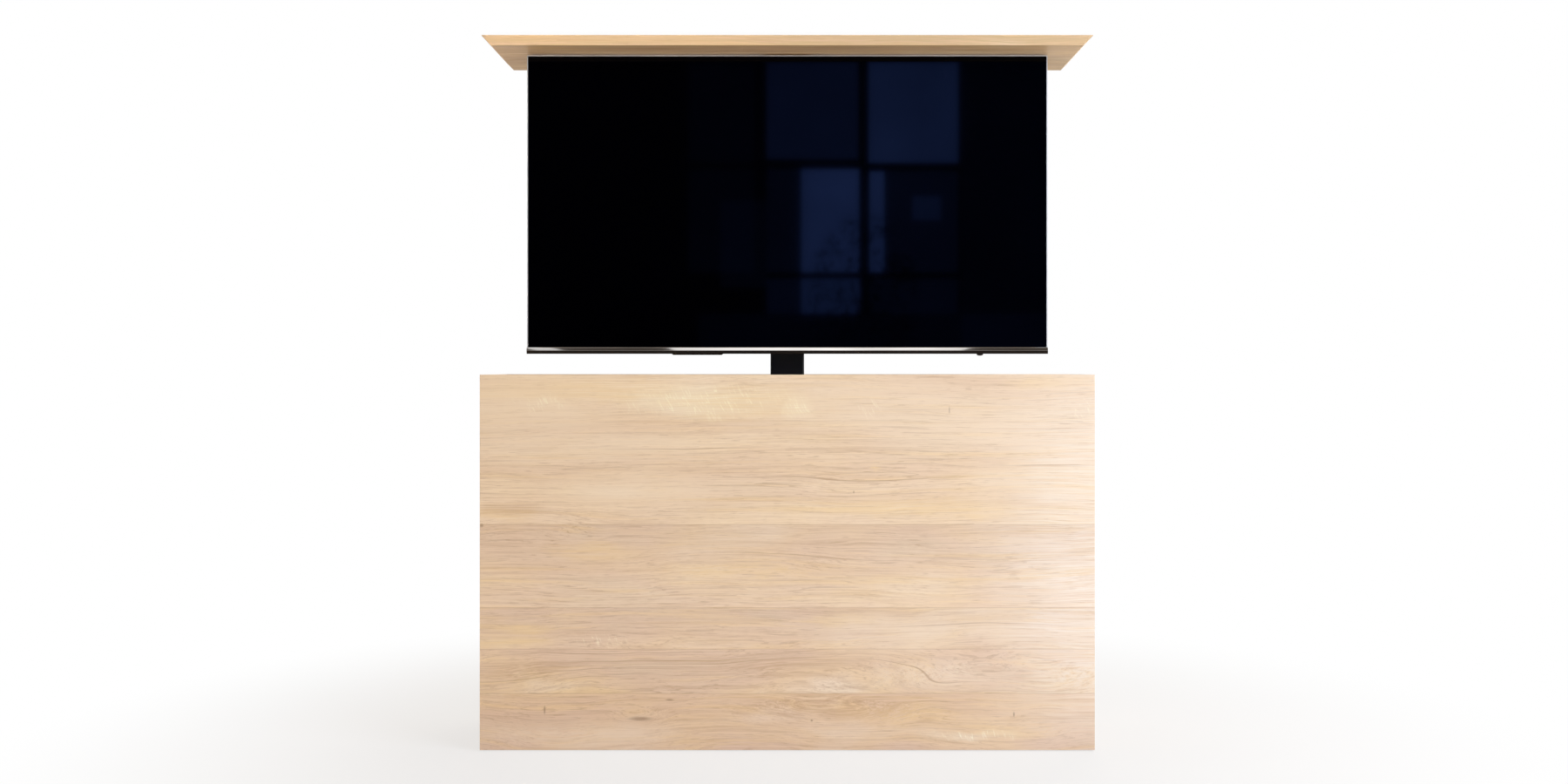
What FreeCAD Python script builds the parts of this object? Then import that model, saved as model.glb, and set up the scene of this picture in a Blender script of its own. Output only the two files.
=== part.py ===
import FreeCAD
import Part
import math
import os

Vector = FreeCAD.Vector

# All sizes are in millimetres. X runs to the right, Y to the back and Z up.
# The model stands with the lift raised.

# Cabinet
cabinet_width = 1412.0
cabinet_depth = 350.0
cabinet_height = 865.0
board = 20.0                    # thickness of every oak board
arris = 1.5                     # eased outer edges of the carcass
lid_arris = 0.8                 # eased top edge of the lid
lid_gap = 2.0                   # level gap all round the nested lid
rail_height = 80.0              # fixed rail along the back's top
service_gap = 0.6               # gap round the service panel
spline_width = 16.0
spline_thick = 4.0
spline_end_gap = 12.0           # the grooves stop short of the board's ends
spline_slack = 0.25             # glue room at both edges of a spline
cleat = 25.0                    # square battens that the service panel screws to
cleat_top_gap = 10.0            # below the lowered lid
floor_batten = 20.0             # square battens under the bottom panel
corner_block = 50.0

# Glides
glide_height = 3.0
glide_radius = 17.0
glide_edge = 0.6
glide_stem_radius = 4.0
glide_stem_length = 15.0

# Service panel
vent_length = 110.0
vent_width = 8.0
vent_pitch = 28.0
vent_rows = 5
vent_side = 400.0               # from the middle to each field of vents
vent_lowest = 470.0
port_radius = 26.0              # clear bore of the cable grommet
grommet_wall = 3.0
grommet_flange = 7.0
grommet_flange_thick = 2.0
port_x = -430.0
port_z = 170.0
service_screw_inset = 70.0      # from the panel's ends to the outer screws

# Slots and many-sided fittings
slot_nip = 0.3                  # share of a slot's width that its corners lose
round_nip = 0.58                # a straight cut across a round corner, as a share of its radius
screw_sides = 6
fitting_sides = 12
nut_sides = 16
drum_sides = 24

# Wood screws
wood_screw_radius = 2.0
wood_screw_head = 4.2
wood_screw_length = 38.0
screw_play = 0.3                # clearance round a shank in the piece it holds

# Base of the lift
base_width = 260.0
base_depth = 120.0
base_thick = 8.0
base_corner = 12.0
base_front_gap = 16.0           # base plate reaches this far in front of the column
base_back_gap = 5.0             # between the base plate and the service panel
base_bolt_inset = 15.0
base_bolt_radius = 4.0
base_bolt_head = 6.5
base_bolt_head_height = 5.3
base_bolt_length = 26.0

# Telescopic column: the three tubes and the room between them
middle_width = 82.0
middle_depth = 60.0
middle_wall = 2.0
outer_wall = 2.5
inner_wall = 2.0
stage_gap = 3.0                 # at the front and sides of each stage
belt_room = 13.0                # at the back of each stage, for belt and pulleys
tube_corner = 5.0
outer_length = 564.0
middle_length = 550.0
stage_travel = 390.0            # each of the two moving stages
guide_clearance = 0.3
guide_height = 20.0
guide_lip = 3.0
foot_ring = 16.0
foot_plate = 6.0
stow_gap = 4.0                  # between stacked stages when the lift is down

# Spindle drive
spindle_radius = 8.0
spindle_back = 20.0             # behind the inner tube's front face
spindle_above_nut = 24.0
spindle_chamfer = 1.5
bore_clearance = 0.05
nut_barrel_radius = 13.0
nut_flange_radius = 19.0
nut_flange = 5.0
nut_above_plate = 20.0
nut_screw_circle = 16.0
nut_screw_radius = 1.5
nut_screw_head = 2.6
nut_screw_head_height = 2.0
gearbox_height = 40.0
gearbox_clearance = 2.0
gearbox_corner = 6.0
spindle_seat = 30.0             # length of the spindle's journal in the gearbox
spindle_under_gap = 0.3
neck_radius = 15.0
neck_play = 0.5
motor_radius = 20.0
motor_flange_radius = 22.0
motor_flange = 5.0
motor_length = 98.0
motor_cap_radius = 17.0
motor_cap = 7.0
motor_stand_off = 1.5
motor_over_base = 2.0

# Cascade belt
belt_width = 12.0
belt_thick = 2.5
pulley_pitch_radius = 10.0
pulley_flange_radius = 12.0
pulley_flange = 1.2
pulley_side_play = 0.3
pulley_axle_radius = 3.0
lower_pulley_height = 38.0      # above the middle tube's lower end
upper_pulley_drop = 37.0        # below the middle tube's upper end
cheek = 2.0
cheek_play = 0.4
cheek_radius = 8.0
ear = 10.0
ear_thick = 1.5
ear_half_height = 18.0
window_play = 0.6
window_half_height = 15.0
clamp_height = 22.0
clamp_half_width = 14.0
clamp_wall = 3.0
clamp_play = 0.3
clamp_pulley_gap = 5.0

# Lid plate and hanger
lid_plate = 6.0
lid_plate_width = 560.0
lid_plate_ahead = 6.0           # in front of the hanger
lid_plate_depth = 110.0
lid_plate_corner = 14.0
lid_screw_first = 110.0
lid_screw_pitch = 150.0
lid_screw_columns = 2
lid_screw_inset = 16.0
lid_screw_radius = 2.4
lid_screw_head = 5.0
lid_screw_head_height = 3.2
lid_screw_length = 14.0
hanger_ahead = 20.0             # in front of the outer column
hanger_width = 120.0
hanger_depth = 16.0
hanger_wall = 4.0
hanger_bend = 6.0
hanger_flange_gap = 1.0         # short of the inner tube
gusset_thick = 4.0
gusset_drop = 178.0
gusset_reach = 34.0
hanger_window_width = 40.0
hanger_window_height = 90.0

# Television mount
vesa = 300.0                    # square screw pattern
vesa_height = 321.0             # centre above the television's lower edge
rail_thick = 8.0
rail_tall = 40.0
rail_length = 460.0
rail_spacing = 210.0
rail_corner = 6.0
rail_slot = 70.0
rail_slot_width = 9.0
rail_bolt_radius = 4.0
rail_bolt_head = 6.5
rail_bolt_head_height = 4.5
rail_bolt_side = 35.0
arm_width = 30.0
arm_wall = 3.0
arm_depth = 14.0
arm_past_hole = 28.0
hook_rise = 15.0
hook_lip = 6.0
hook_drop = 20.0
hook_play = 0.3
arm_screw_radius = 3.0
arm_screw_head = 6.0
arm_screw_head_height = 4.5
arm_screw_grip = 14.0

# Television
tv_width = 1233.0
tv_height = 707.0
tv_depth = 62.0                 # from the trim's front to the arms
tv_below_lid = 4.5
tv_slim = 28.0
tv_corner = 3.0
trim_lip = 2.2
trim_depth = 19.0
trim_corner = 2.0
screen_thick = 4.0
screen_inset = 0.5
chin_height = 16.0
chin_ridge_height = 7.5
chin_ridge_proud = 3.0
chin_over = 1.0                 # the strip is wider than the trim at each end
cover_edge = 6.0
cover_up = 0.5
cover_wall = 3.0
thick_width = 1040.0
thick_height = 500.0
thick_lowest = 22.0
thick_slope = 26.0
thick_radius = 10.0
slot_count = 12
slot_pitch = 30.0
slot_height = 46.0
slot_width = 5.0
slot_from_top = 88.0
socket_width = 120.0
socket_height = 34.0
socket_depth = 10.0
socket_x = -330.0
socket_z = 150.0
pad_left = -275.0
pad_right = -152.0
pad_drop = 2.5
pad_front = 3.0
pad_depth = 12.0
pad_taper = 4.0

# Inside the television
chassis_thick = 1.5
chassis_play = 1.0
bush_radius = 8.0
circuit_width = 230.0
circuit_height = 150.0
circuit_thick = 1.6
circuit_side = 320.0
circuit_z = 290.0
circuit_post = 9.0
circuit_post_radius = 3.0
speaker_width = 160.0
speaker_height = 46.0
speaker_depth = 16.0
speaker_side = 350.0
speaker_corner = 5.0

# Power button
button_x = 458.0
button_behind = 15.0            # centre behind the television's front
button_radius = 8.0
button_drop = 4.3               # dome below the polished strip
button_dome_edge = 1.6
button_crown = 3.6
button_rim = 1.5
button_press = 1.2
button_recess = 3.0
button_recess_play = 0.4
button_stem_radius = 3.0
button_stem_length = 7.0
button_stem_play = 0.5
button_wall = 2.0

# Control box
control_width = 140.0
control_depth = 70.0
control_height = 40.0
control_x = -260.0
control_corner = 5.0
control_tab = 14.0
control_tab_thick = 3.0
inlet_width = 28.0
inlet_height = 20.0
inlet_depth = 12.0

# Derived places
half_width = cabinet_width / 2
front = -cabinet_depth / 2
back = cabinet_depth / 2
wall_bottom = glide_height
rail_bottom = cabinet_height - rail_height
floor_under = wall_bottom + floor_batten
floor_top = floor_under + board
travel = 2 * stage_travel
lid_top = cabinet_height + travel
lid_under = lid_top - board

column_front = back - board - base_back_gap - base_depth + base_front_gap
middle_front = column_front + outer_wall + stage_gap
middle_back = middle_front + middle_depth
middle_hollow_back = middle_back - middle_wall
inner_front = middle_front + middle_wall + stage_gap
inner_back = middle_hollow_back - belt_room
inner_width = middle_width - 2 * middle_wall - 2 * stage_gap
outer_hollow_width = middle_width + 2 * stage_gap
outer_width = outer_hollow_width + 2 * outer_wall
outer_hollow_back = middle_back + belt_room
outer_back = outer_hollow_back + outer_wall
column_y = (column_front + outer_back) / 2
spindle_y = inner_front + spindle_back

base_top = floor_top + base_thick
outer_top = base_top + outer_length
gearbox_top = base_top + gearbox_height
middle_bottom = gearbox_top + stow_gap + foot_plate + stage_travel
middle_top = middle_bottom + middle_length
nut_top = middle_bottom + nut_above_plate
inner_bottom = nut_top + stow_gap + foot_plate + stage_travel
inner_top = lid_under - lid_plate
motor_z = base_top + motor_over_base + motor_flange_radius

pulley_y = middle_back - middle_wall / 2
lower_pulley_z = middle_bottom + lower_pulley_height
upper_pulley_z = middle_top - upper_pulley_drop
belt_front_y = pulley_y - pulley_pitch_radius
belt_back_y = pulley_y + pulley_pitch_radius
pulley_half = belt_width / 2 + pulley_side_play + pulley_flange
cheek_inner = pulley_half + cheek_play
cheek_outer = cheek_inner + cheek
outer_clamp_top = upper_pulley_z - stage_travel - pulley_flange_radius - clamp_pulley_gap
inner_clamp_bottom = lower_pulley_z + stage_travel + pulley_flange_radius + clamp_pulley_gap

hanger_front = column_front - hanger_ahead
lid_plate_front = hanger_front - lid_plate_ahead

tv_top = lid_under - tv_below_lid
tv_bottom = tv_top - tv_height
tv_half = tv_width / 2
chin_top = tv_bottom + chin_height
cover_bottom = tv_bottom + cover_up
arm_back_of_tv = hanger_front - rail_thick - arm_depth
tv_front = arm_back_of_tv - tv_depth
vesa_z = tv_bottom + vesa_height


def box(x0, x1, y0, y1, z0, z1):
    return Part.makeBox(x1 - x0, y1 - y0, z1 - z0, Vector(x0, y0, z0))


def cylinder(radius, start, end):
    way = end - start
    return Part.makeCylinder(radius, way.Length, start, way)


def rect_x(x, y0, y1, z0, z1):
    return [Vector(x, y0, z0), Vector(x, y1, z0), Vector(x, y1, z1), Vector(x, y0, z1)]


def rect_y(y, x0, x1, z0, z1):
    return [Vector(x0, y, z0), Vector(x1, y, z0), Vector(x1, y, z1), Vector(x0, y, z1)]


def rect_z(z, x0, x1, y0, y1):
    return [Vector(x0, y0, z), Vector(x1, y0, z), Vector(x1, y1, z), Vector(x0, y1, z)]


def flat_face(points):
    return Part.Face(Part.makePolygon(points + points[:1]))


# A solid with flat faces through a row of closed outlines that have the same number of points
def stacked(outlines):
    faces = [flat_face(outlines[0]), flat_face(outlines[-1])]
    for ring, above in zip(outlines, outlines[1:]):
        for index in range(len(ring)):
            after = (index + 1) % len(ring)
            faces.append(flat_face([ring[index], ring[after], above[after], above[index]]))
    return Part.makeSolid(Part.makeShell(faces))


# A solid between two four-cornered faces, such as a board with mitred edges
def between(outer, inner):
    return stacked([outer, inner])


# A closed outline of points, extruded along a direction
def prism(points, way):
    return flat_face(points).extrude(way)


# A profile of (radius, height) pairs turned about an axis that starts at a point
def turned(profile, start, direction):
    points = [Vector(radius, 0, height) for radius, height in profile]
    shape = flat_face(points).revolve(Vector(), Vector(0, 0, 1), 360)
    shape.Placement = FreeCAD.Placement(start, FreeCAD.Rotation(Vector(0, 0, 1), direction))
    return shape


# The same profile as a many-sided piece with flat faces, for small fittings; it stands on the axis
def faceted(profile, sides, start, direction):
    turns = [2 * math.pi * (index + 0.5) / sides for index in range(sides)]
    shape = stacked([
        [Vector(radius * math.cos(a), radius * math.sin(a), height) for a in turns]
        for radius, height in profile
    ])
    shape.Placement = FreeCAD.Placement(start, FreeCAD.Rotation(Vector(0, 0, 1), direction))
    return shape


# A rectangle with round corners at one height
def rounded_outline(x0, x1, y0, y1, z, radius):
    edges = []
    for centre_x, centre_y, turn in (
        (x1 - radius, y1 - radius, 0),
        (x0 + radius, y1 - radius, 90),
        (x0 + radius, y0 + radius, 180),
        (x1 - radius, y0 + radius, 270),
    ):
        circle = Part.Circle(Vector(centre_x, centre_y, z), Vector(0, 0, 1), radius)
        edges.append(Part.Arc(circle, math.radians(turn), math.radians(turn + 90)).toShape())
    outline = []
    for index, edge in enumerate(edges):
        after = edges[(index + 1) % 4]
        outline.append(edge)
        outline.append(Part.makeLine(edge.lastVertex().Point, after.firstVertex().Point))
    return Part.Wire(outline)


# An upright block with round vertical corners
def rounded(x0, x1, y0, y1, z0, z1, radius):
    return Part.Face(rounded_outline(x0, x1, y0, y1, z0, radius)).extrude(Vector(0, 0, z1 - z0))


# The outline of an upright block with its corners cut off, and the block itself
def nipped_outline(x0, x1, y0, y1, z, nip):
    corners = (
        (x0, y0 + nip), (x0 + nip, y0), (x1 - nip, y0), (x1, y0 + nip),
        (x1, y1 - nip), (x1 - nip, y1), (x0 + nip, y1), (x0, y1 - nip),
    )
    return [Vector(x, y, z) for x, y in corners]


def nipped(x0, x1, y0, y1, z0, z1, nip):
    return prism(nipped_outline(x0, x1, y0, y1, z0, nip), Vector(0, 0, z1 - z0))


# A slot with tapered ends that lies in the XZ plane and runs through along Y
def slot_along_x(x, z, length, width, y0, y1):
    half = length / 2
    up = width / 2
    nip = width * slot_nip
    corners = (
        (-half, up - nip), (-half, nip - up), (nip - half, -up), (half - nip, -up),
        (half, nip - up), (half, up - nip), (half - nip, up), (nip - half, up),
    )
    return prism([Vector(x + dx, y0, z + dz) for dx, dz in corners], Vector(0, y1 - y0, 0))


def edges_where(shape, test):
    return [edge for edge in shape.Edges if test(edge.BoundBox)]


def fuse_all(shapes):
    return shapes[0].fuse(shapes[1:]).removeSplitter()


def group(shapes):
    return Part.makeCompound(shapes)


def mirrored(shape):
    return shape.mirror(Vector(), Vector(1, 0, 0))


# Carcass boards

# The outer form of the carcass, with eased edges at the corners and along the top
def carcass_form():
    form = box(-half_width, half_width, front, back, wall_bottom, cabinet_height)
    upright = edges_where(form, lambda b: b.ZLength > board)
    top = edges_where(form, lambda b: b.ZMin > cabinet_height - board)
    return form.makeFillet(arris, upright + top)


def corner_splines():
    splines = []
    low = wall_bottom + spline_end_gap
    high = cabinet_height - board - spline_end_gap
    rail_low = rail_bottom + spline_end_gap
    for side in (-1, 1):
        for edge_y, depth_way, start in ((front, 1, low), (back, -1, rail_low)):
            spline = box(
                -spline_width / 2 + spline_slack,
                spline_width / 2 - spline_slack,
                -spline_thick / 2,
                spline_thick / 2,
                start,
                high,
            )
            centre = Vector(side * (half_width - board / 2), edge_y + depth_way * board / 2, 0)
            turn = FreeCAD.Rotation(Vector(0, 0, 1), -45 * side * depth_way)
            spline.Placement = FreeCAD.Placement(centre, turn)
            splines.append(spline)
    return splines


# The grooves are the splines, widened by their slack
def with_grooves(panel, splines):
    for spline in splines:
        groove = spline.copy()
        shift = groove.Placement.Rotation.multVec(Vector(spline_slack, 0, 0))
        for way in (shift, shift * -1):
            moved = groove.copy()
            moved.translate(way)
            panel = panel.cut(moved)
    return panel


def front_panel(form, splines):
    panel = between(
        rect_y(front, -half_width, half_width, wall_bottom, cabinet_height),
        rect_y(front + board, -half_width + board, half_width - board, wall_bottom, cabinet_height - board),
    )
    return with_grooves(panel.common(form), splines)


def side_panel(form, splines, side):
    panel = between(
        rect_x(side * half_width, front, back, wall_bottom, cabinet_height),
        rect_x(side * (half_width - board), front + board, back - board, wall_bottom, cabinet_height - board),
    )
    return with_grooves(panel.common(form), splines)


def back_top_rail(form, splines):
    rail = between(
        rect_y(back, -half_width, half_width, rail_bottom, cabinet_height),
        rect_y(back - board, -half_width + board, half_width - board, rail_bottom, cabinet_height - board),
    )
    return with_grooves(rail.common(form), splines)


def service_screw_places():
    low = floor_top + service_screw_inset
    high = rail_bottom - service_screw_inset
    x = half_width - board - cleat / 2
    heights = (low, (low + high) / 2, high)
    return [Vector(side * x, back, height) for side in (-1, 1) for height in heights]


# A countersunk wood screw whose head is flush at the given point
def wood_screw(place, way):
    drop = wood_screw_head - wood_screw_radius
    profile = (
        (wood_screw_head, 0),
        (wood_screw_radius, drop),
        (wood_screw_radius, wood_screw_length),
    )
    return faceted(profile, screw_sides, place, way)


def service_screws():
    return group([wood_screw(place, Vector(0, -1, 0)) for place in service_screw_places()])


def back_service_panel(form, screws):
    reach = half_width - service_gap
    top = rail_bottom - service_gap
    panel = between(
        rect_y(back, -reach, reach, wall_bottom, top),
        rect_y(back - board, -reach + board, reach - board, wall_bottom, top),
    )
    panel = panel.common(form)
    cuts = [screws]
    for place in service_screw_places():
        hole = wood_screw_radius + screw_play
        cuts.append(faceted(((hole, 0), (hole, board)), screw_sides, place, Vector(0, -1, 0)))
    for side in (-1, 1):
        for row in range(vent_rows):
            z = vent_lowest + row * vent_pitch
            cuts.append(slot_along_x(side * vent_side, z, vent_length, vent_width, back - board, back))
    cuts.append(grommet_form())
    for cut in cuts:
        panel = panel.cut(cut)
    return panel


def grommet_form():
    profile = (
        (port_radius + grommet_flange, 0),
        (port_radius + grommet_flange, grommet_flange_thick),
        (port_radius + grommet_wall, grommet_flange_thick),
        (port_radius + grommet_wall, board),
    )
    return faceted(profile, drum_sides, Vector(port_x, back, port_z), Vector(0, -1, 0))


def cable_grommet():
    mouth = Vector(port_x, back, port_z)
    return grommet_form().cut(cylinder(port_radius, mouth, mouth - Vector(0, board, 0)))


def back_cleats(screws):
    batten = box(
        half_width - board - cleat,
        half_width - board,
        back - board - cleat,
        back - board,
        floor_top,
        cabinet_height - board - cleat_top_gap,
    )
    return group([piece.cut(screws) for piece in (batten, mirrored(batten))])


def bottom_panel(bolts):
    reach = half_width - board
    panel = box(-reach, reach, front + board, back - board - service_gap, floor_under, floor_top)
    for cut in bolts:
        panel = panel.cut(cut)
    return panel


def bottom_battens():
    x = half_width - board
    y = cabinet_depth / 2 - board
    rear = y - service_gap
    inner = x - corner_block
    side = box(
        x - floor_batten,
        x,
        -y + corner_block,
        rear - corner_block,
        wall_bottom,
        floor_under,
    )
    return group([
        box(-inner, inner, -y, -y + floor_batten, wall_bottom, floor_under),
        box(-inner, inner, rear - floor_batten, rear, wall_bottom, floor_under),
        side,
        mirrored(side),
    ])


def glide_places():
    x = half_width - board - corner_block / 2
    near = front + board + corner_block / 2
    far = back - board - service_gap - corner_block / 2
    return [Vector(side * x, y, 0) for side in (-1, 1) for y in (near, far)]


def glide_feet():
    profile = (
        (glide_radius - glide_edge, 0),
        (glide_radius, glide_edge),
        (glide_radius, glide_height),
        (glide_stem_radius, glide_height),
        (glide_stem_radius, glide_height + glide_stem_length),
    )
    return [faceted(profile, fitting_sides, place, Vector(0, 0, 1)) for place in glide_places()]


def corner_blocks(glides):
    half = corner_block / 2
    blocks = []
    for place, glide in zip(glide_places(), glides):
        block = box(
            place.x - half, place.x + half, place.y - half, place.y + half, wall_bottom, floor_under
        )
        blocks.append(block.cut(glide))
    return group(blocks)


# The lid's lower face is smaller by the board's thickness all round, so it nests in the carcass
def lid_panel(screws):
    x = half_width - lid_gap
    y = cabinet_depth / 2 - lid_gap
    lid = between(
        rect_z(lid_top, -x, x, -y, y),
        rect_z(lid_under, -x + board, x - board, -y + board, y - board),
    )
    top = edges_where(lid, lambda b: b.ZMin > lid_top - lid_arris)
    lid = lid.makeFillet(lid_arris, top)
    return lid.cut(screws)


# Lift: fixed part

def base_bolt_places():
    x = base_width / 2 - base_bolt_inset
    near = column_front - base_front_gap + base_bolt_inset
    far = column_front - base_front_gap + base_depth - base_bolt_inset
    return [Vector(side * x, y, base_top) for side in (-1, 1) for y in (near, far)]


# A bolt whose head stands on the given point and whose shank goes the other way
def bolt_at(place, out, radius, head_radius, head_height, length, sides=6):
    profile = (
        (head_radius, head_height),
        (head_radius, 0),
        (radius, 0),
        (radius, -length),
    )
    return faceted(profile, sides, place, out)


def base_bolts():
    return [
        bolt_at(
            place, Vector(0, 0, 1), base_bolt_radius, base_bolt_head, base_bolt_head_height, base_bolt_length
        )
        for place in base_bolt_places()
    ]


def base_plate(bolts):
    y0 = column_front - base_front_gap
    plate = rounded(
        -base_width / 2, base_width / 2, y0, y0 + base_depth, floor_top, base_top, base_corner
    )
    for bolt in bolts:
        plate = plate.cut(bolt)
    return plate


def tube(width, y0, y1, wall, z0, z1):
    outside = rounded(-width / 2, width / 2, y0, y1, z0, z1, tube_corner)
    hollow = rounded(
        -width / 2 + wall, width / 2 - wall, y0 + wall, y1 - wall, z0, z1, tube_corner - wall
    )
    return outside.cut(hollow)


def outer_column():
    column = tube(outer_width, column_front, outer_back, outer_wall, base_top, outer_top)
    hole = ((neck_radius + neck_play, 0), (neck_radius + neck_play, outer_width))
    return column.cut(faceted(hole, drum_sides, Vector(0, column_y, motor_z), Vector(1, 0, 0)))


# A plastic collar in the top of a tube: it lines the hollow round the next tube and has a lip on top
def collar(width, y0, y1, wall, top, inside):
    low = top - guide_height
    liner = nipped(
        -width / 2 + wall,
        width / 2 - wall,
        y0 + wall,
        y1 - wall,
        low,
        top,
        tube_corner - wall,
    )
    lip = nipped(-width / 2, width / 2, y0, y1, top, top + guide_lip, tube_corner * round_nip)
    return liner.fuse(lip).removeSplitter().cut(inside)


def guide_room(width, y0, y1, z0, z1):
    return nipped(
        -width / 2 - guide_clearance,
        width / 2 + guide_clearance,
        y0 - guide_clearance,
        y1 + guide_clearance,
        z0,
        z1,
        tube_corner * round_nip,
    )


def outer_collar():
    room = guide_room(
        middle_width, middle_front, middle_back, outer_top - guide_height, outer_top + guide_lip
    )
    ring = collar(outer_width, column_front, outer_back, outer_wall, outer_top, room)
    notch_half = cheek_outer + ear + stage_gap
    notch = box(
        -notch_half,
        notch_half,
        middle_back - middle_wall,
        outer_hollow_back,
        outer_top - guide_height,
        outer_top + guide_lip,
    )
    return ring.cut(notch)


def middle_collar():
    room = guide_room(inner_width, inner_front, inner_back, middle_top - guide_height, middle_top + guide_lip)
    return collar(middle_width, middle_front, middle_back, middle_wall, middle_top, room)


def gearbox_housing():
    reach = outer_hollow_width / 2 - gearbox_clearance
    y0 = column_front + outer_wall + gearbox_clearance
    y1 = outer_hollow_back - gearbox_clearance
    rim = gearbox_clearance
    block = stacked([
        nipped_outline(-reach, reach, y0, y1, base_top, gearbox_corner),
        nipped_outline(-reach, reach, y0, y1, gearbox_top - rim, gearbox_corner),
        nipped_outline(
            rim - reach, reach - rim, y0 + rim, y1 - rim, gearbox_top, gearbox_corner * round_nip
        ),
    ])
    profile = ((neck_radius, 0), (neck_radius, outer_width / 2 + motor_stand_off))
    neck = faceted(profile, drum_sides, Vector(0, column_y, motor_z), Vector(1, 0, 0))
    seat_bottom = gearbox_top - spindle_seat - spindle_under_gap
    seat = cylinder(
        spindle_radius + bore_clearance,
        Vector(0, spindle_y, seat_bottom),
        Vector(0, spindle_y, gearbox_top),
    )
    body = block.fuse(neck).cut(seat)
    over = box(-reach, reach, column_front, outer_back, gearbox_top, gearbox_top + neck_radius)
    return body.cut(over)


def motor():
    body_end = motor_flange + motor_length
    profile = (
        (motor_flange_radius, 0),
        (motor_flange_radius, motor_flange),
        (motor_radius, motor_flange),
        (motor_radius, body_end),
        (motor_cap_radius, body_end + motor_cap / 2),
        (motor_cap_radius, body_end + motor_cap),
    )
    start = Vector(outer_width / 2 + motor_stand_off, column_y, motor_z)
    return faceted(profile, drum_sides, start, Vector(1, 0, 0))


# A clamp block beside a tube wall, with a slot that the belt runs through
def belt_clamp(y_seat, y_belt, z0):
    away = math.copysign(1, y_belt - y_seat)
    far = y_belt + away * (belt_thick / 2 + clamp_play + clamp_wall)
    y0, y1 = sorted((y_seat, far))
    block = box(-clamp_half_width, clamp_half_width, y0, y1, z0, z0 + clamp_height)
    outer_edges = edges_where(block, lambda b: b.ZLength > clamp_wall and abs(b.YMin - far) < clamp_play)
    block = block.makeChamfer(clamp_wall / 2, outer_edges)
    half = belt_width / 2 + clamp_play
    thick = belt_thick / 2 + clamp_play
    return block.cut(box(-half, half, y_belt - thick, y_belt + thick, z0, z0 + clamp_height))


# Lift: spindle and middle stage

def lead_screw():
    low = gearbox_top - spindle_seat
    high = nut_top + spindle_above_nut
    length = high - low
    tip = spindle_radius - spindle_chamfer
    profile = (
        (0, 0),
        (tip, 0),
        (spindle_radius, spindle_chamfer),
        (spindle_radius, length - spindle_chamfer),
        (tip, length),
        (0, length),
    )
    return turned(profile, Vector(0, spindle_y, low), Vector(0, 0, 1))


def pulley_window(z):
    half = cheek_outer + window_play
    return box(
        -half,
        half,
        middle_hollow_back,
        middle_back,
        z - window_half_height,
        z + window_half_height,
    )


def middle_column():
    column = tube(middle_width, middle_front, middle_back, middle_wall, middle_bottom, middle_top)
    for z in (lower_pulley_z, upper_pulley_z):
        column = column.cut(pulley_window(z))
    return column


# The shoe closes a tube's lower end and guides it in the tube outside
def middle_shoe():
    hollow_front = column_front + outer_wall
    play = guide_clearance
    low = middle_bottom - foot_plate
    high = middle_bottom + foot_ring
    shoe = nipped(
        -outer_hollow_width / 2 + play,
        outer_hollow_width / 2 - play,
        hollow_front + play,
        outer_hollow_back - play,
        low,
        high,
        tube_corner - outer_wall,
    )
    shoe = shoe.cut(nipped(
        -middle_width / 2,
        middle_width / 2,
        middle_front,
        middle_back,
        middle_bottom,
        high,
        tube_corner * round_nip,
    ))
    return shoe.cut(nut_form())


def nut_screw_places():
    places = []
    for k in range(4):
        turn = math.radians(45 + 90 * k)
        places.append(Vector(
            nut_screw_circle * math.cos(turn),
            spindle_y + nut_screw_circle * math.sin(turn),
            middle_bottom + nut_flange,
        ))
    return places


def nut_screws():
    length = nut_flange + foot_plate
    return [
        bolt_at(
            place, Vector(0, 0, 1), nut_screw_radius, nut_screw_head, nut_screw_head_height, length
        )
        for place in nut_screw_places()
    ]


def nut_form():
    profile = (
        (nut_barrel_radius, -foot_plate),
        (nut_barrel_radius, 0),
        (nut_flange_radius, 0),
        (nut_flange_radius, nut_flange),
        (nut_barrel_radius, nut_flange),
        (nut_barrel_radius, nut_above_plate),
    )
    return faceted(profile, nut_sides, Vector(0, spindle_y, middle_bottom), Vector(0, 0, 1))


def spindle_nut(screws):
    low = Vector(0, spindle_y, middle_bottom - foot_plate)
    bore = cylinder(spindle_radius + bore_clearance, low, Vector(0, spindle_y, nut_top))
    nut = nut_form().cut(bore)
    for screw in screws:
        nut = nut.cut(screw)
    return nut


# A loop of belt round both pulleys, seen from the side
def belt_loop(radius):
    low = Vector(0, pulley_y, lower_pulley_z)
    high = Vector(0, pulley_y, upper_pulley_z)
    side = Vector(0, radius, 0)
    under = Vector(0, 0, radius)
    edges = [
        Part.makeLine(low - side, high - side),
        Part.Arc(high - side, high + under, high + side).toShape(),
        Part.makeLine(high + side, low + side),
        Part.Arc(low + side, low - under, low - side).toShape(),
    ]
    face = Part.Face(Part.Wire(edges))
    face.translate(Vector(-belt_width / 2, 0, 0))
    return face.extrude(Vector(belt_width, 0, 0))


def cascade_belt():
    outside = belt_loop(pulley_pitch_radius + belt_thick / 2)
    inside = belt_loop(pulley_pitch_radius - belt_thick / 2 + bore_clearance)
    return outside.cut(inside)


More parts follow.
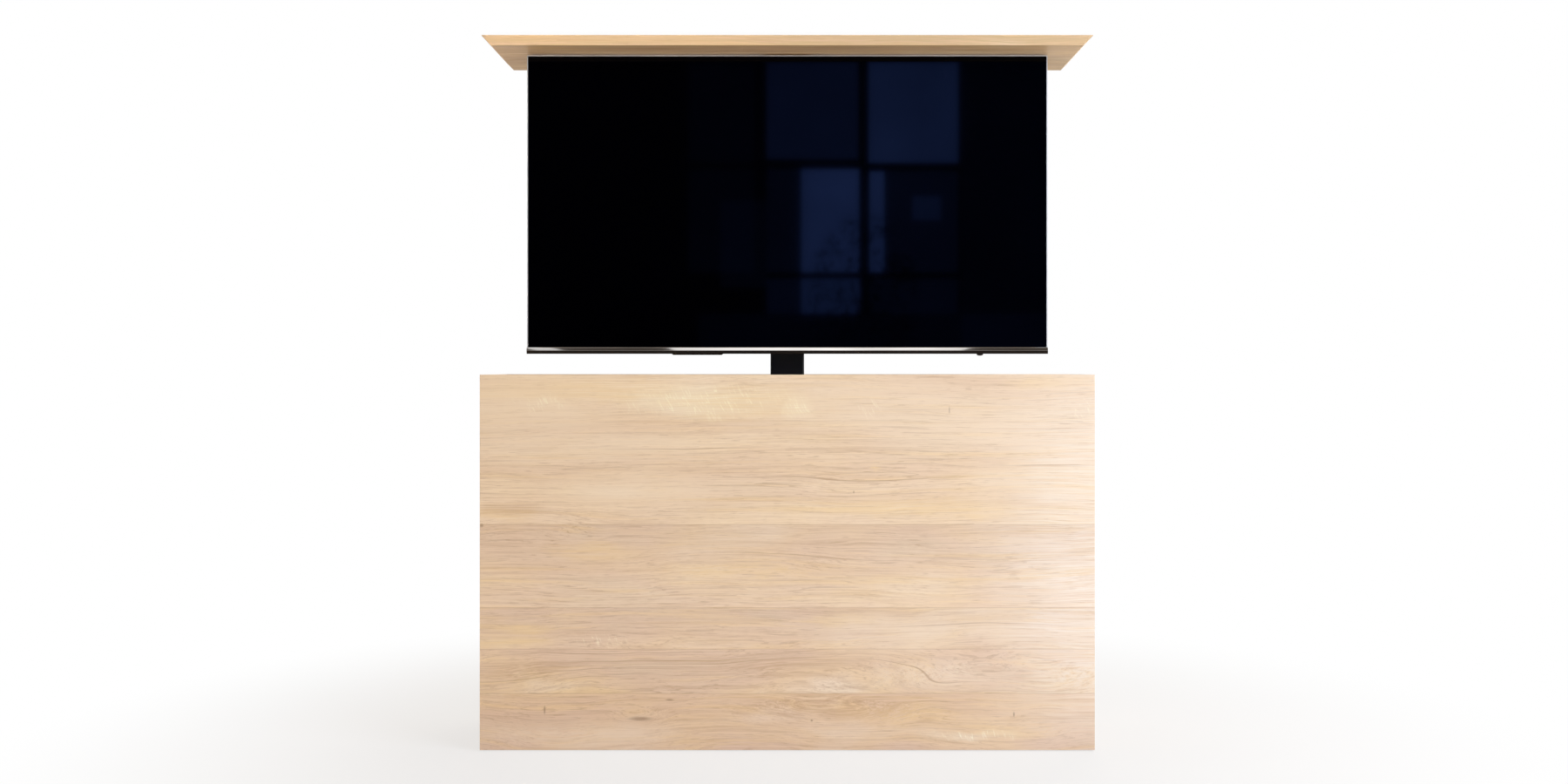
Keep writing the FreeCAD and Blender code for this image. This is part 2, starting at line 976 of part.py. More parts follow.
# Two cheeks reach through the wall's window and carry the axle, two ears lie on the wall
def pulley_bracket(z):
    pieces = []
    for side in (-1, 1):
        x0 = min(side * cheek_inner, side * cheek_outer)
        x1 = max(side * cheek_inner, side * cheek_outer)
        root = window_half_height - window_play
        plate = prism(
            [
                Vector(x0, middle_back, z - root),
                Vector(x0, pulley_y + cheek_radius, z - cheek_radius * slot_nip),
                Vector(x0, pulley_y + cheek_radius, z + cheek_radius * slot_nip),
                Vector(x0, middle_back, z + root),
                Vector(x0, pulley_y - cheek_radius, z + cheek_radius * slot_nip),
                Vector(x0, pulley_y - cheek_radius, z - cheek_radius * slot_nip),
            ],
            Vector(cheek, 0, 0),
        )
        e0 = min(side * cheek_inner, side * (cheek_outer + ear))
        e1 = max(side * cheek_inner, side * (cheek_outer + ear))
        flap = box(
            e0,
            e1,
            middle_back,
            middle_back + ear_thick,
            z - ear_half_height,
            z + ear_half_height,
        )
        pieces.extend((plate, flap))
    axle = cylinder(
        pulley_axle_radius, Vector(-cheek_inner, pulley_y, z), Vector(cheek_inner, pulley_y, z)
    )
    return fuse_all(pieces + [axle])


def belt_pulley(z):
    groove = belt_width / 2 + pulley_side_play
    seat = pulley_pitch_radius - belt_thick / 2
    profile = (
        (pulley_flange_radius, -pulley_half),
        (pulley_flange_radius, -groove),
        (seat, -groove),
        (seat, groove),
        (pulley_flange_radius, groove),
        (pulley_flange_radius, pulley_half),
    )
    drum = faceted(profile, nut_sides, Vector(0, pulley_y, z), Vector(1, 0, 0))
    end = Vector(pulley_half, pulley_y, z)
    return drum.cut(cylinder(pulley_axle_radius + bore_clearance, Vector(-pulley_half, pulley_y, z), end))


# Lift: inner stage with lid plate, hanger and television mount

def inner_column():
    return tube(inner_width, inner_front, inner_back, inner_wall, inner_bottom, inner_top)


def inner_shoe():
    play = guide_clearance
    low = inner_bottom - foot_plate
    high = inner_bottom + foot_ring
    shoe = nipped(
        -middle_width / 2 + middle_wall + play,
        middle_width / 2 - middle_wall - play,
        middle_front + middle_wall + play,
        middle_hollow_back - play,
        low,
        high,
        tube_corner - middle_wall,
    )
    shoe = shoe.cut(nipped(
        -inner_width / 2,
        inner_width / 2,
        inner_front,
        inner_back,
        inner_bottom,
        high,
        tube_corner * round_nip,
    ))
    notch = cheek_outer + window_play
    shoe = shoe.cut(box(-notch, notch, inner_back, middle_hollow_back, low, high))
    hole = ((spindle_radius + stage_gap, 0), (spindle_radius + stage_gap, foot_plate))
    return shoe.cut(faceted(hole, nut_sides, Vector(0, spindle_y, low), Vector(0, 0, 1)))


def lid_screw_places():
    rows = (lid_plate_front + lid_screw_inset, lid_plate_front + lid_plate_depth - lid_screw_inset)
    places = []
    for side in (-1, 1):
        for column in range(lid_screw_columns):
            x = side * (lid_screw_first + column * lid_screw_pitch)
            places.extend(Vector(x, y, inner_top) for y in rows)
    return places


def lid_screws():
    length = lid_plate + lid_screw_length
    return group([
        bolt_at(
            place,
            Vector(0, 0, -1),
            lid_screw_radius,
            lid_screw_head,
            lid_screw_head_height,
            length,
            screw_sides,
        )
        for place in lid_screw_places()
    ])


def lid_carrier(screws, bolts):
    plate = rounded(
        -lid_plate_width / 2,
        lid_plate_width / 2,
        lid_plate_front,
        lid_plate_front + lid_plate_depth,
        inner_top,
        lid_under,
        lid_plate_corner,
    )
    return plate.cut(screws).cut(group(bolts))


def hanger_bolt_places():
    y = hanger_front + hanger_depth / 2 + hanger_bend
    z = inner_top - hanger_wall
    return [Vector(side * hanger_width / 3, y, z) for side in (-1, 1)]


def hanger_bolts():
    length = hanger_wall + lid_plate
    return [
        bolt_at(
            place, Vector(0, 0, -1), rail_bolt_radius, rail_bolt_head, rail_bolt_head_height, length
        )
        for place in hanger_bolt_places()
    ]


def mount_rail_heights():
    return (vesa_z - rail_spacing / 2, vesa_z + rail_spacing / 2)


def rail_bolt_places():
    y = hanger_front - rail_thick
    return [
        Vector(side * rail_bolt_side, y, z) for side in (-1, 1) for z in mount_rail_heights()
    ]


def rail_bolts():
    length = rail_thick + hanger_wall
    return [
        bolt_at(
            place, Vector(0, -1, 0), rail_bolt_radius, rail_bolt_head, rail_bolt_head_height, length
        )
        for place in rail_bolt_places()
    ]


# A channel that opens to the back, turned over at the top and gusseted to the inner tube
def hanger(bolts):
    low = mount_rail_heights()[0] - rail_tall
    half = hanger_width / 2
    y0 = hanger_front
    y1 = hanger_front + hanger_depth
    outside = rounded(-half, half, y0, y1 + hanger_bend, low, inner_top, hanger_bend)
    inside = rounded(
        -half + hanger_wall,
        half - hanger_wall,
        y0 + hanger_wall,
        y1 + 2 * hanger_bend,
        low,
        inner_top,
        hanger_bend - hanger_wall,
    )
    channel = outside.cut(inside).cut(box(-half, half, y1, y1 + hanger_bend, low, inner_top))
    flange = box(
        -half,
        half,
        y0 + hanger_bend,
        inner_front - hanger_flange_gap,
        inner_top - hanger_wall,
        inner_top,
    )
    x0 = inner_width / 2
    gusset = prism(
        [
            Vector(x0, y0 + hanger_wall, inner_top - gusset_drop),
            Vector(x0, inner_front, inner_top - gusset_drop),
            Vector(x0, inner_front + gusset_reach, inner_top - gusset_reach),
            Vector(x0, inner_front + gusset_reach, inner_top),
            Vector(x0, y0 + hanger_wall, inner_top),
        ],
        Vector(gusset_thick, 0, 0),
    )
    body = fuse_all([channel, flange, gusset, mirrored(gusset)])
    cuts = list(bolts)
    gap = rail_spacing / 2
    window = slot_along_x(0, vesa_z, hanger_window_height, hanger_window_width, y0, y0 + hanger_wall)
    window.rotate(Vector(0, 0, vesa_z), Vector(0, 1, 0), 90)
    cuts.append(window)
    upper = window.copy()
    upper.translate(Vector(0, 0, 2 * gap))
    cuts.append(upper)
    for cut in cuts:
        body = body.cut(cut)
    return body


def mount_rails(bolts):
    rails = []
    for z in mount_rail_heights():
        rail = nipped(
            -rail_length / 2, rail_length / 2, -rail_tall / 2, rail_tall / 2, 0, rail_thick, rail_corner
        )
        rail.Placement = FreeCAD.Placement(
            Vector(0, hanger_front, z), FreeCAD.Rotation(Vector(1, 0, 0), 90)
        )
        for side in (-1, 1):
            x = side * (vesa / 2 - rail_slot)
            rail = rail.cut(slot_along_x(
                x, z, rail_slot, rail_slot_width, hanger_front - rail_thick, hanger_front
            ))
        for bolt in bolts:
            rail = rail.cut(bolt)
        rails.append(rail)
    return group(rails)


def arm_screw_places(x):
    y = arm_back_of_tv + arm_wall
    return [Vector(x, y, vesa_z + side * vesa / 2) for side in (-1, 1)]


def arm_screws():
    length = arm_wall + arm_screw_grip
    places = arm_screw_places(-vesa / 2) + arm_screw_places(vesa / 2)
    return group([
        bolt_at(
            place,
            Vector(0, 1, 0),
            arm_screw_radius,
            arm_screw_head,
            arm_screw_head_height,
            length,
            screw_sides,
        )
        for place in places
    ])


# A channel behind the television whose two flanges hook over the upper rail
def tv_arm(screws, x):
    low = vesa_z - vesa / 2 - arm_past_hole
    high = vesa_z + vesa / 2 + arm_past_hole
    y0 = arm_back_of_tv
    y1 = y0 + arm_depth
    rail_top = mount_rail_heights()[1] + rail_tall / 2
    x0 = x - arm_width / 2
    hook_back = hanger_front + hook_play + hook_lip
    hook_top = rail_top + hook_play + hook_rise
    flange = prism(
        [
            Vector(x0, y0, low),
            Vector(x0, y1, low),
            Vector(x0, y1, rail_top + hook_play),
            Vector(x0, hanger_front + hook_play, rail_top + hook_play),
            Vector(x0, hanger_front + hook_play, rail_top - hook_drop),
            Vector(x0, hook_back, rail_top - hook_drop),
            Vector(x0, hook_back, hook_top - hook_lip),
            Vector(x0, hook_back - hook_lip, hook_top),
            Vector(x0, y1, hook_top),
            Vector(x0, y1, high),
            Vector(x0, y0, high),
        ],
        Vector(arm_wall, 0, 0),
    )
    other = flange.copy()
    other.translate(Vector(arm_width - arm_wall, 0, 0))
    web = box(x0, x0 + arm_width, y0, y0 + arm_wall, low, high)
    return fuse_all([web, flange, other]).cut(screws)


# Television

def tv_trim():
    y0 = tv_front
    y1 = tv_front + trim_depth
    band = box(-tv_half, tv_half, y0, y1, chin_top, tv_top)
    upper = edges_where(band, lambda b: b.YLength > trim_lip and b.ZMin > tv_top - trim_lip)
    band = band.makeFillet(tv_corner, upper)
    reach = tv_half - trim_lip
    hollow = box(-reach, reach, y0, y1, chin_top, tv_top - trim_lip)
    upper = edges_where(hollow, lambda b: b.YLength > trim_lip and b.ZMin > tv_top - 2 * trim_lip)
    return band.cut(hollow.makeFillet(trim_corner, upper))


def tv_screen():
    reach = tv_half - trim_lip
    y0 = tv_front + screen_inset
    glass = box(-reach, reach, y0, y0 + screen_thick, chin_top, tv_top - trim_lip)
    upper = edges_where(glass, lambda b: b.YLength > trim_lip and b.ZMin > tv_top - 2 * trim_lip)
    return glass.makeFillet(trim_corner, upper)


# The polished strip has an upper facet that leans forwards and a lower one that leans back
def tv_chin():
    x = -tv_half - chin_over
    rear = tv_front + screen_inset + screen_thick
    outline = [
        Vector(x, rear, chin_top),
        Vector(x, tv_front, chin_top),
        Vector(x, tv_front - chin_ridge_proud, tv_bottom + chin_ridge_height),
        Vector(x, tv_front + screen_inset, tv_bottom),
        Vector(x, rear, tv_bottom),
    ]
    return prism(outline, Vector(tv_width + 2 * chin_over, 0, 0))


# The form of the slim sheet behind the screen, with a bevelled rear rim; skin is the inset of its hollow
def cover_sheet(y0, skin):
    reach = tv_half - trim_lip - skin
    bottom = cover_bottom + skin
    top = tv_top - trim_lip - skin
    y1 = tv_front + tv_slim - skin
    bevel_y = y1 - cover_edge
    sheet = box(-reach, reach, y0, bevel_y, bottom, top)
    upper = edges_where(sheet, lambda b: b.YLength > trim_lip and b.ZMin > top - trim_lip)
    sheet = sheet.makeFillet(trim_corner, upper)
    inset = reach - cover_edge
    rim = between(
        rect_y(bevel_y, -reach, reach, bottom, top),
        rect_y(y1, -inset, inset, bottom + cover_edge, top - cover_edge),
    )
    return sheet.fuse(rim)


# The form of the thicker housing of the electronics, tapered to the back and rounded at its corners
def cover_hump(skin):
    y0 = tv_front + tv_slim - cover_edge - skin
    y1 = arm_back_of_tv - skin
    low = tv_bottom + thick_lowest + skin
    high = tv_bottom + thick_lowest + thick_height - skin
    half = thick_width / 2 - skin
    slope = thick_slope
    corner = thick_radius - skin
    wires = [
        rounded_outline(-half, half, low, high, -y0, corner),
        rounded_outline(-half + slope, half - slope, low + slope, high - slope, -y1, corner),
    ]
    hump = Part.makeLoft(wires, True, True)
    hump.rotate(Vector(), Vector(1, 0, 0), 90)
    return hump


# The slim shell is open to the screen, lets the bushes through and seats the power button
def tv_back():
    y0 = tv_front + screen_inset + screen_thick
    shell = cover_sheet(y0, 0).cut(cover_sheet(y0, cover_wall))
    seat = Vector(button_x, tv_front + button_behind, cover_bottom)
    bore_top = button_rim + button_stem_length + button_press + button_stem_play
    boss_radius = button_radius + button_recess_play + button_wall
    boss = ((boss_radius, 0), (boss_radius, bore_top + button_wall))
    shell = shell.fuse(faceted(boss, drum_sides, seat, Vector(0, 0, 1)))
    recess = button_radius + button_recess_play
    up = Vector(0, 0, 1)
    shell = shell.cut(faceted(((recess, 0), (recess, button_recess)), drum_sides, seat, up))
    shell = shell.cut(cylinder(button_stem_radius + bore_clearance, seat, seat + up * bore_top))
    for bush in tv_bushes(screw_play):
        shell = shell.cut(bush)
    pad_y = y0 + pad_front
    pad = between(
        rect_z(cover_bottom, pad_left, pad_right, pad_y, pad_y + pad_depth),
        rect_z(
            tv_bottom - pad_drop,
            pad_left + pad_taper,
            pad_right - pad_taper,
            pad_y + pad_taper / 2,
            pad_y + pad_depth - pad_taper / 2,
        ),
    )
    return shell.fuse(pad).removeSplitter()


# The housing is open to the slim shell; it has vents, a socket recess and the screw holes
def tv_housing(screws):
    face = tv_front + tv_slim
    ahead = box(-tv_half, tv_half, tv_front, face, tv_bottom, tv_top)
    housing = cover_hump(0).cut(cover_hump(cover_wall)).cut(ahead)
    socket_bottom = tv_bottom + socket_z
    tray = box(
        socket_x - socket_width / 2 - cover_wall,
        socket_x + socket_width / 2 + cover_wall,
        arm_back_of_tv - socket_depth - cover_wall,
        arm_back_of_tv,
        socket_bottom - cover_wall,
        socket_bottom + socket_height + cover_wall,
    )
    housing = housing.fuse(tray).removeSplitter()
    slot_z = tv_bottom + thick_lowest + thick_height - slot_from_top
    cuts = [screws]
    for index in range(slot_count):
        x = (index - (slot_count - 1) / 2) * slot_pitch
        cuts.append(box(
            x - slot_width / 2,
            x + slot_width / 2,
            arm_back_of_tv - cover_wall,
            arm_back_of_tv,
            slot_z,
            slot_z + slot_height,
        ))
    cuts.append(box(
        socket_x - socket_width / 2,
        socket_x + socket_width / 2,
        arm_back_of_tv - socket_depth,
        arm_back_of_tv,
        socket_bottom,
        socket_bottom + socket_height,
    ))
    for cut in cuts:
        housing = housing.cut(cut)
    return housing


# A metal sheet behind the screen that carries the boards and the bushes of the screw pattern
def tv_chassis():
    reach = tv_half - trim_lip - cover_wall - chassis_play
    y0 = tv_front + screen_inset + screen_thick
    top = tv_top - trim_lip - cover_wall - chassis_play
    sheet = box(-reach, reach, y0, y0 + chassis_thick, chin_top, top)
    upper = edges_where(sheet, lambda b: b.YLength > chassis_thick / 2 and b.ZMin > top - trim_lip)
    return sheet.makeFillet(trim_corner, upper)


def tv_bushes(grow):
    y0 = tv_front + screen_inset + screen_thick + chassis_thick
    radius = bush_radius + grow
    profile = ((radius, 0), (radius, arm_back_of_tv - cover_wall - y0))
    return [
        faceted(profile, screw_sides, Vector(place.x, y0, place.z), Vector(0, 1, 0))
        for side in (-1, 1)
        for place in arm_screw_places(side * vesa / 2)
    ]


# Two circuit boards, each on four posts
def tv_boards():
    y0 = tv_front + screen_inset + screen_thick + chassis_thick
    boards = []
    for side in (-1, 1):
        x = side * circuit_side
        z = tv_bottom + circuit_z
        half = circuit_width / 2
        tall = circuit_height / 2
        pieces = [box(
            x - half, x + half, y0 + circuit_post, y0 + circuit_post + circuit_thick, z - tall, z + tall
        )]
        profile = ((circuit_post_radius, 0), (circuit_post_radius, circuit_post))
        for across in (-1, 1):
            for up in (-1, 1):
                foot = Vector(
                    x + across * (half - circuit_post), y0, z + up * (tall - circuit_post)
                )
                pieces.append(faceted(profile, 4, foot, Vector(0, 1, 0)))
        boards.append(fuse_all(pieces))
    return group(boards)


# A speaker box at each side, low in the slim shell
def tv_speakers():
    y0 = tv_front + screen_inset + screen_thick + chassis_thick
    z = tv_bottom + thick_lowest + cover_wall + thick_slope
    speakers = []
    for side in (-1, 1):
        x = side * speaker_side
        speakers.append(nipped(
            x - speaker_width / 2,
            x + speaker_width / 2,
            y0,
            y0 + speaker_depth,
            z,
            z + speaker_height,
            speaker_corner,
        ))
    return group(speakers)


def tv_power_button():
    drop = button_drop + cover_up
    stem_top = button_rim + button_stem_length
    profile = (
        (button_crown, -drop),
        (button_radius - button_dome_edge, -drop * 0.72),
        (button_radius, -drop * 0.3),
        (button_radius, button_rim),
        (button_stem_radius, button_rim),
        (button_stem_radius, stem_top),
    )
    place = Vector(button_x, tv_front + button_behind, cover_bottom)
    return faceted(profile, drum_sides, place, Vector(0, 0, 1))


# Control box

def control_screw_places():
    reach = control_width / 2 + control_tab / 2
    y = back - board - control_tab - control_depth / 2
    z = floor_top + control_tab_thick
    return [Vector(control_x + side * reach, y, z) for side in (-1, 1)]


def control_screws():
    return [
        bolt_at(
            place,
            Vector(0, 0, 1),
            wood_screw_radius,
            wood_screw_head,
            wood_screw_radius,
            control_tab_thick + board / 2,
        )
        for place in control_screw_places()
    ]


def control_box(screws):
    half = control_width / 2
    y1 = back - board - control_tab
    y0 = y1 - control_depth
    top = floor_top + control_height
    body = nipped(control_x - half, control_x + half, y0, y1, floor_top, top, control_corner)
    middle = (y0 + y1) / 2
    tabs = box(
        control_x - half - control_tab,
        control_x + half + control_tab,
        middle - control_tab / 2,
        middle + control_tab / 2,
        floor_top,
        floor_top + control_tab_thick,
    )
    inlet = box(
        control_x - half,
        control_x - half + inlet_depth,
        middle - inlet_width / 2,
        middle + inlet_width / 2,
        floor_top + inlet_height / 2,
        floor_top + inlet_height * 1.5,
    )
    body = body.fuse(tabs).removeSplitter().cut(inlet)
    for screw in screws:
        body = body.cut(screw)
    return body


def build():
    form = carcass_form()
    splines = corner_splines()
    panel_screws = service_screws()
    foot_bolts = base_bolts()
    box_screws = control_screws()
    flange_screws = nut_screws()
    plate_screws = lid_screws()
    flange_bolts = hanger_bolts()
    rail_fixings = rail_bolts()
    tv_screws = arm_screws()
    nut_group = group(flange_screws)
    glides = glide_feet()
    return {
        "front_panel": front_panel(form, splines),
        "side_panel_left": side_panel(form, splines, -1),
        "side_panel_right": side_panel(form, splines, 1),
        "back_top_rail": back_top_rail(form, splines),
        "back_service_panel": back_service_panel(form, panel_screws),
        "service_screws": panel_screws,
        "cable_grommet": cable_grommet(),
        "corner_splines": group(splines),
        "back_cleats": back_cleats(panel_screws),
        "bottom_panel": bottom_panel(foot_bolts + box_screws),
        "bottom_battens": bottom_battens(),
        "corner_blocks": corner_blocks(glides),
        "glide_feet": group(glides),
        "base_plate": base_plate(foot_bolts),
        "base_bolts": group(foot_bolts),
        "outer_column": outer_column(),
        "outer_collar": outer_collar(),
        "gearbox_housing": gearbox_housing(),
        "motor": motor(),
        "outer_belt_clamp": belt_clamp(outer_hollow_back, belt_back_y, outer_clamp_top - clamp_height),
        "control_box": control_box(box_screws),
        "control_screws": group(box_screws),
        "lead_screw": lead_screw(),
        "middle_column": middle_column(),
        "middle_collar": middle_collar(),
        "middle_shoe": middle_shoe().cut(nut_group),
        "spindle_nut": spindle_nut(flange_screws),
        "nut_screws": nut_group,
        "pulley_brackets": group([pulley_bracket(lower_pulley_z), pulley_bracket(upper_pulley_z)]),
        "cascade_belt": cascade_belt(),
        "lower_pulley": belt_pulley(lower_pulley_z),
        "upper_pulley": belt_pulley(upper_pulley_z),
        "inner_column": inner_column(),
        "inner_shoe": inner_shoe(),
        "inner_belt_clamp": belt_clamp(inner_back, belt_front_y, inner_clamp_bottom),
        "lid_plate": lid_carrier(plate_screws, flange_bolts),
        "lid_screws": plate_screws,
        "lid_panel": lid_panel(plate_screws),
        "hanger": hanger(flange_bolts + rail_fixings),
        "hanger_bolts": group(flange_bolts + rail_fixings),
        "mount_rails": mount_rails(rail_fixings),
        "tv_arm_left": tv_arm(tv_screws, -vesa / 2),
        "tv_arm_right": tv_arm(tv_screws, vesa / 2),
        "tv_arm_screws": tv_screws,
        "tv_trim": tv_trim(),
        "tv_screen": tv_screen(),
        "tv_chin": tv_chin(),
        "tv_back": tv_back(),
        "tv_housing": tv_housing(tv_screws),
        "tv_chassis": tv_chassis(),
        "tv_bushes": group(tv_bushes(0)).cut(tv_screws),
        "tv_boards": tv_boards(),
        "tv_speakers": tv_speakers(),
        "tv_power_button": tv_power_button(),
    }


os.makedirs("parts", exist_ok=True)
for name, shape in build().items():
    shape.exportStep("parts/" + name + ".step")
    print(name, len(shape.Solids), round(shape.Volume / 1000, 1), "cm3", shape.isValid())
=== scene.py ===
import math
from functools import partial

import bmesh
import bpy
from mathutils import Matrix, Vector


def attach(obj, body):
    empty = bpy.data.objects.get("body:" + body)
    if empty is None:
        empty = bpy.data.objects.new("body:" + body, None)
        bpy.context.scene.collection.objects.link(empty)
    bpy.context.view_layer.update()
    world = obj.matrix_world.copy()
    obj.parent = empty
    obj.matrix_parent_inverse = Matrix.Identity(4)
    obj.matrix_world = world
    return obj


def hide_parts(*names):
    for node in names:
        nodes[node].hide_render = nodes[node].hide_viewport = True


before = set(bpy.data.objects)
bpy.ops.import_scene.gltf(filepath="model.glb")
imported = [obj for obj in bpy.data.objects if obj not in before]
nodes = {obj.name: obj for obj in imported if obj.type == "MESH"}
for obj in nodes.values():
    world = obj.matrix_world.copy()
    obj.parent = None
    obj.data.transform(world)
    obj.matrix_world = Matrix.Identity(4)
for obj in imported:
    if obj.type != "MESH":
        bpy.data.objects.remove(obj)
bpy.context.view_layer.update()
scene = bpy.context.scene
mm = 0.001
quarter = math.pi / 2
weldReach = 1e-6  # closer points are one, in metres
up, down, right, back, front = (0, 0, 1), (0, 0, -1), (1, 0, 0), (0, 1, 0), (0, -1, 0)
print("frame loaded:", len(nodes), "nodes")


# colours are written as sRGB hex and turned to linear here
def linear(hexColour):
    channels = []
    for value in bytes.fromhex(hexColour):
        value /= 255
        channels.append(value / 12.92 if value <= 0.04045 else ((value + 0.055) / 1.055) ** 2.4)
    return (*channels, 1)


# inputs are given by name or in their order, each as a value or as a socket to link
def setInputs(node, inputs):
    links = node.id_data.links
    for key, value in inputs.items() if isinstance(inputs, dict) else enumerate(inputs):
        if isinstance(value, bpy.types.NodeSocket):
            links.new(value, node.inputs[key])
        else:
            node.inputs[key].default_value = value


# adds one shader node; its kind may end in an operation, and out None gives the node itself
def addNode(tree, kind, inputs=(), out=0, stops=(), **settings):
    kind, *operation = kind.split()
    node = tree.nodes.new("ShaderNode" + kind)
    if operation:
        node.operation = operation[0]
    for name, value in settings.items():
        setattr(node, name, value)
    setInputs(node, inputs)
    for index, (place, colour) in enumerate(stops):
        elements = node.color_ramp.elements
        element = elements[index] if index < 2 else elements.new(place)
        element.position = place
        element.color = colour
    return node if out is None else node.outputs[out]


# gives the material, addNode for its tree, its shader and the place in object coordinates
def newMaterial(name):
    material = bpy.data.materials.new(name)
    material.use_nodes = True
    add = partial(addNode, material.node_tree)
    return material, add, material.node_tree.nodes["Principled BSDF"], add("TexCoord", out="Object")


def showSurface(material, surface):
    setInputs(material.node_tree.nodes["Material Output"], {"Surface": surface})


# paints layers over a colour; each has its paint, how strongly it covers, and how it blends
def paintLayers(add, colour, layers):
    for paint, share, *blend in layers:
        colour = add(
            "Mix", {0: share, 6: colour, 7: paint}, 2, data_type="RGBA", blend_type=(*blend, "MIX")[0])
    return colour


# the stops of a ramp from one tone to another
def twoTones(colours, low=0.35, high=0.65):
    return (low, linear(colours[0])), (high, linear(colours[1]))


# noise with its own number of cells per metre along each axis
def stretchedNoise(add, place, cells, detail, roughness=0.5, distortion=0):
    scaled = add("Mapping", {"Vector": place, "Scale": cells})
    return add("TexNoise",
        {"Vector": scaled, "Scale": 1, "Detail": detail, "Roughness": roughness, "Distortion": distortion})


# a soft oval mark on a board: 1 in its middle, 0 outside
def ovalMark(add, place, mark):
    x, z, halfLength, halfHeight = mark
    shift = add("VectorMath SUBTRACT", (place, (x, 0, z)))
    shift = add("VectorMath MULTIPLY", (shift, (1 / halfLength, 0, 1 / halfHeight)))
    reach = add("VectorMath LENGTH", (shift,), "Value")
    return add("MapRange", (reach, 1, 0.2), interpolation_type="SMOOTHSTEP")


def allMarks(add, place, marks):
    total = ovalMark(add, place, marks[0])
    for mark in marks[1:]:
        total = add("Math MAXIMUM", (total, ovalMark(add, place, mark)))
    return total


# Oiled European oak, planed and sanded: open grain in fine level lines, glued from wide staves
# whose tone shifts a little, with pale ray flecks and a dry, satin surface.
oakSettings = {
    "paints": {
        # F6E8D8 on the next line is a painted highlight, the sheen of light on the front's right side
        "pale": "F3DEC4", "bleached": "F6E8D8", "warm": "EACBA2", "rosy": "E2C3A7", "grey": "DAC1A4",
        # D4BE98 on the next line is painted light and shade for the lid's front band
        "line": "C6A27F", "pore": "AE8A68", "fleck": "FBEFD2", "yellow": "EFD09A", "golden": "D4BE98",
        "knot": "80634A",
    },
    "clouds": ((2.6, 8, 8), 3),  # cells per metre and detail of the broad change of tone
    "cloudStops": ((0.3, "grey"), (0.7, "pale"), (0.43, "rosy"), (0.56, "warm")),
    "patternShift": (37, 11, 0),  # how far apart the staves' patterns are taken
    "bends": ((2.2, 4, 7), 2, 0.45),
    "bendReach": 0.03,
    # lines along the grain, coarse enough to show: length and pitch in metres, detail, roughness
    "bands": (0.9, 0.05, 2, 0.55),
    "gild": (0.5, 0.014, 3, 0.55),
    "rings": (0.55, 0.009, 3, 0.55),
    "fibres": (0.2, 0.0024, 3, 0.65),
    "hairs": (0.3, 0.005, 1, 0.55),
    "pores": (0.03, 0.00108, 1, 0.55),
    # each layer of lines: its paint, where its pattern starts and is full, and its strength
    "layers": (
        ("bands", "rosy", 0.42, 0.66, 0.42), ("gild", "yellow", 0.52, 0.7, 0.45),
        ("rings", "line", 0.5, 0.74, 0.48), ("fibres", "line", 0.46, 0.75, 0.42),
    ),
    "ringDepth": (0.45, 1.15),
    "hairWidth": 0.022,
    "hairDepth": (0.35, 0.68, 0.38, 0.1),
    "poreReach": (0.6, 0.74, 0, 0.4),
    # each kind of mark: its paint, its strength, and whether it is ragged, still or flowing
    "markKinds": (
        ("yellow", "yellow", 0.5, "ragged"), ("brown", "line", 0.55, "ragged"),
        # on the next line, the first kind is painted light and shade on the lid's front band
        ("golden", "golden", 0.85, "ragged"), ("pale", "pale", 0.6, "ragged"),
        # on the next line, the second kind is a painted highlight: the sheen of light on the front's right
        # side
        ("bleached", "bleached", 0.75, "ragged"), ("knot", "knot", 0.55, "still"),
        ("line", "pore", 0.55, "flowing"),
    ),
    "raggedCells": 16,
    "raggedReach": (0.1, 0, 0.03),
    "streaks": (0.38, 0.62, 0.15, 1.1),
    "fleckSlant": 0.45,
    "fleckCells": (130, 1, 24),
    "seamWidth": 0.002,
    "seamStrength": 0.28,
    "boardTop": 0.868,
    "roughness": (0.47, 0.62),
    "relief": {"Strength": 0.17, "Distance": 0.0004},
}


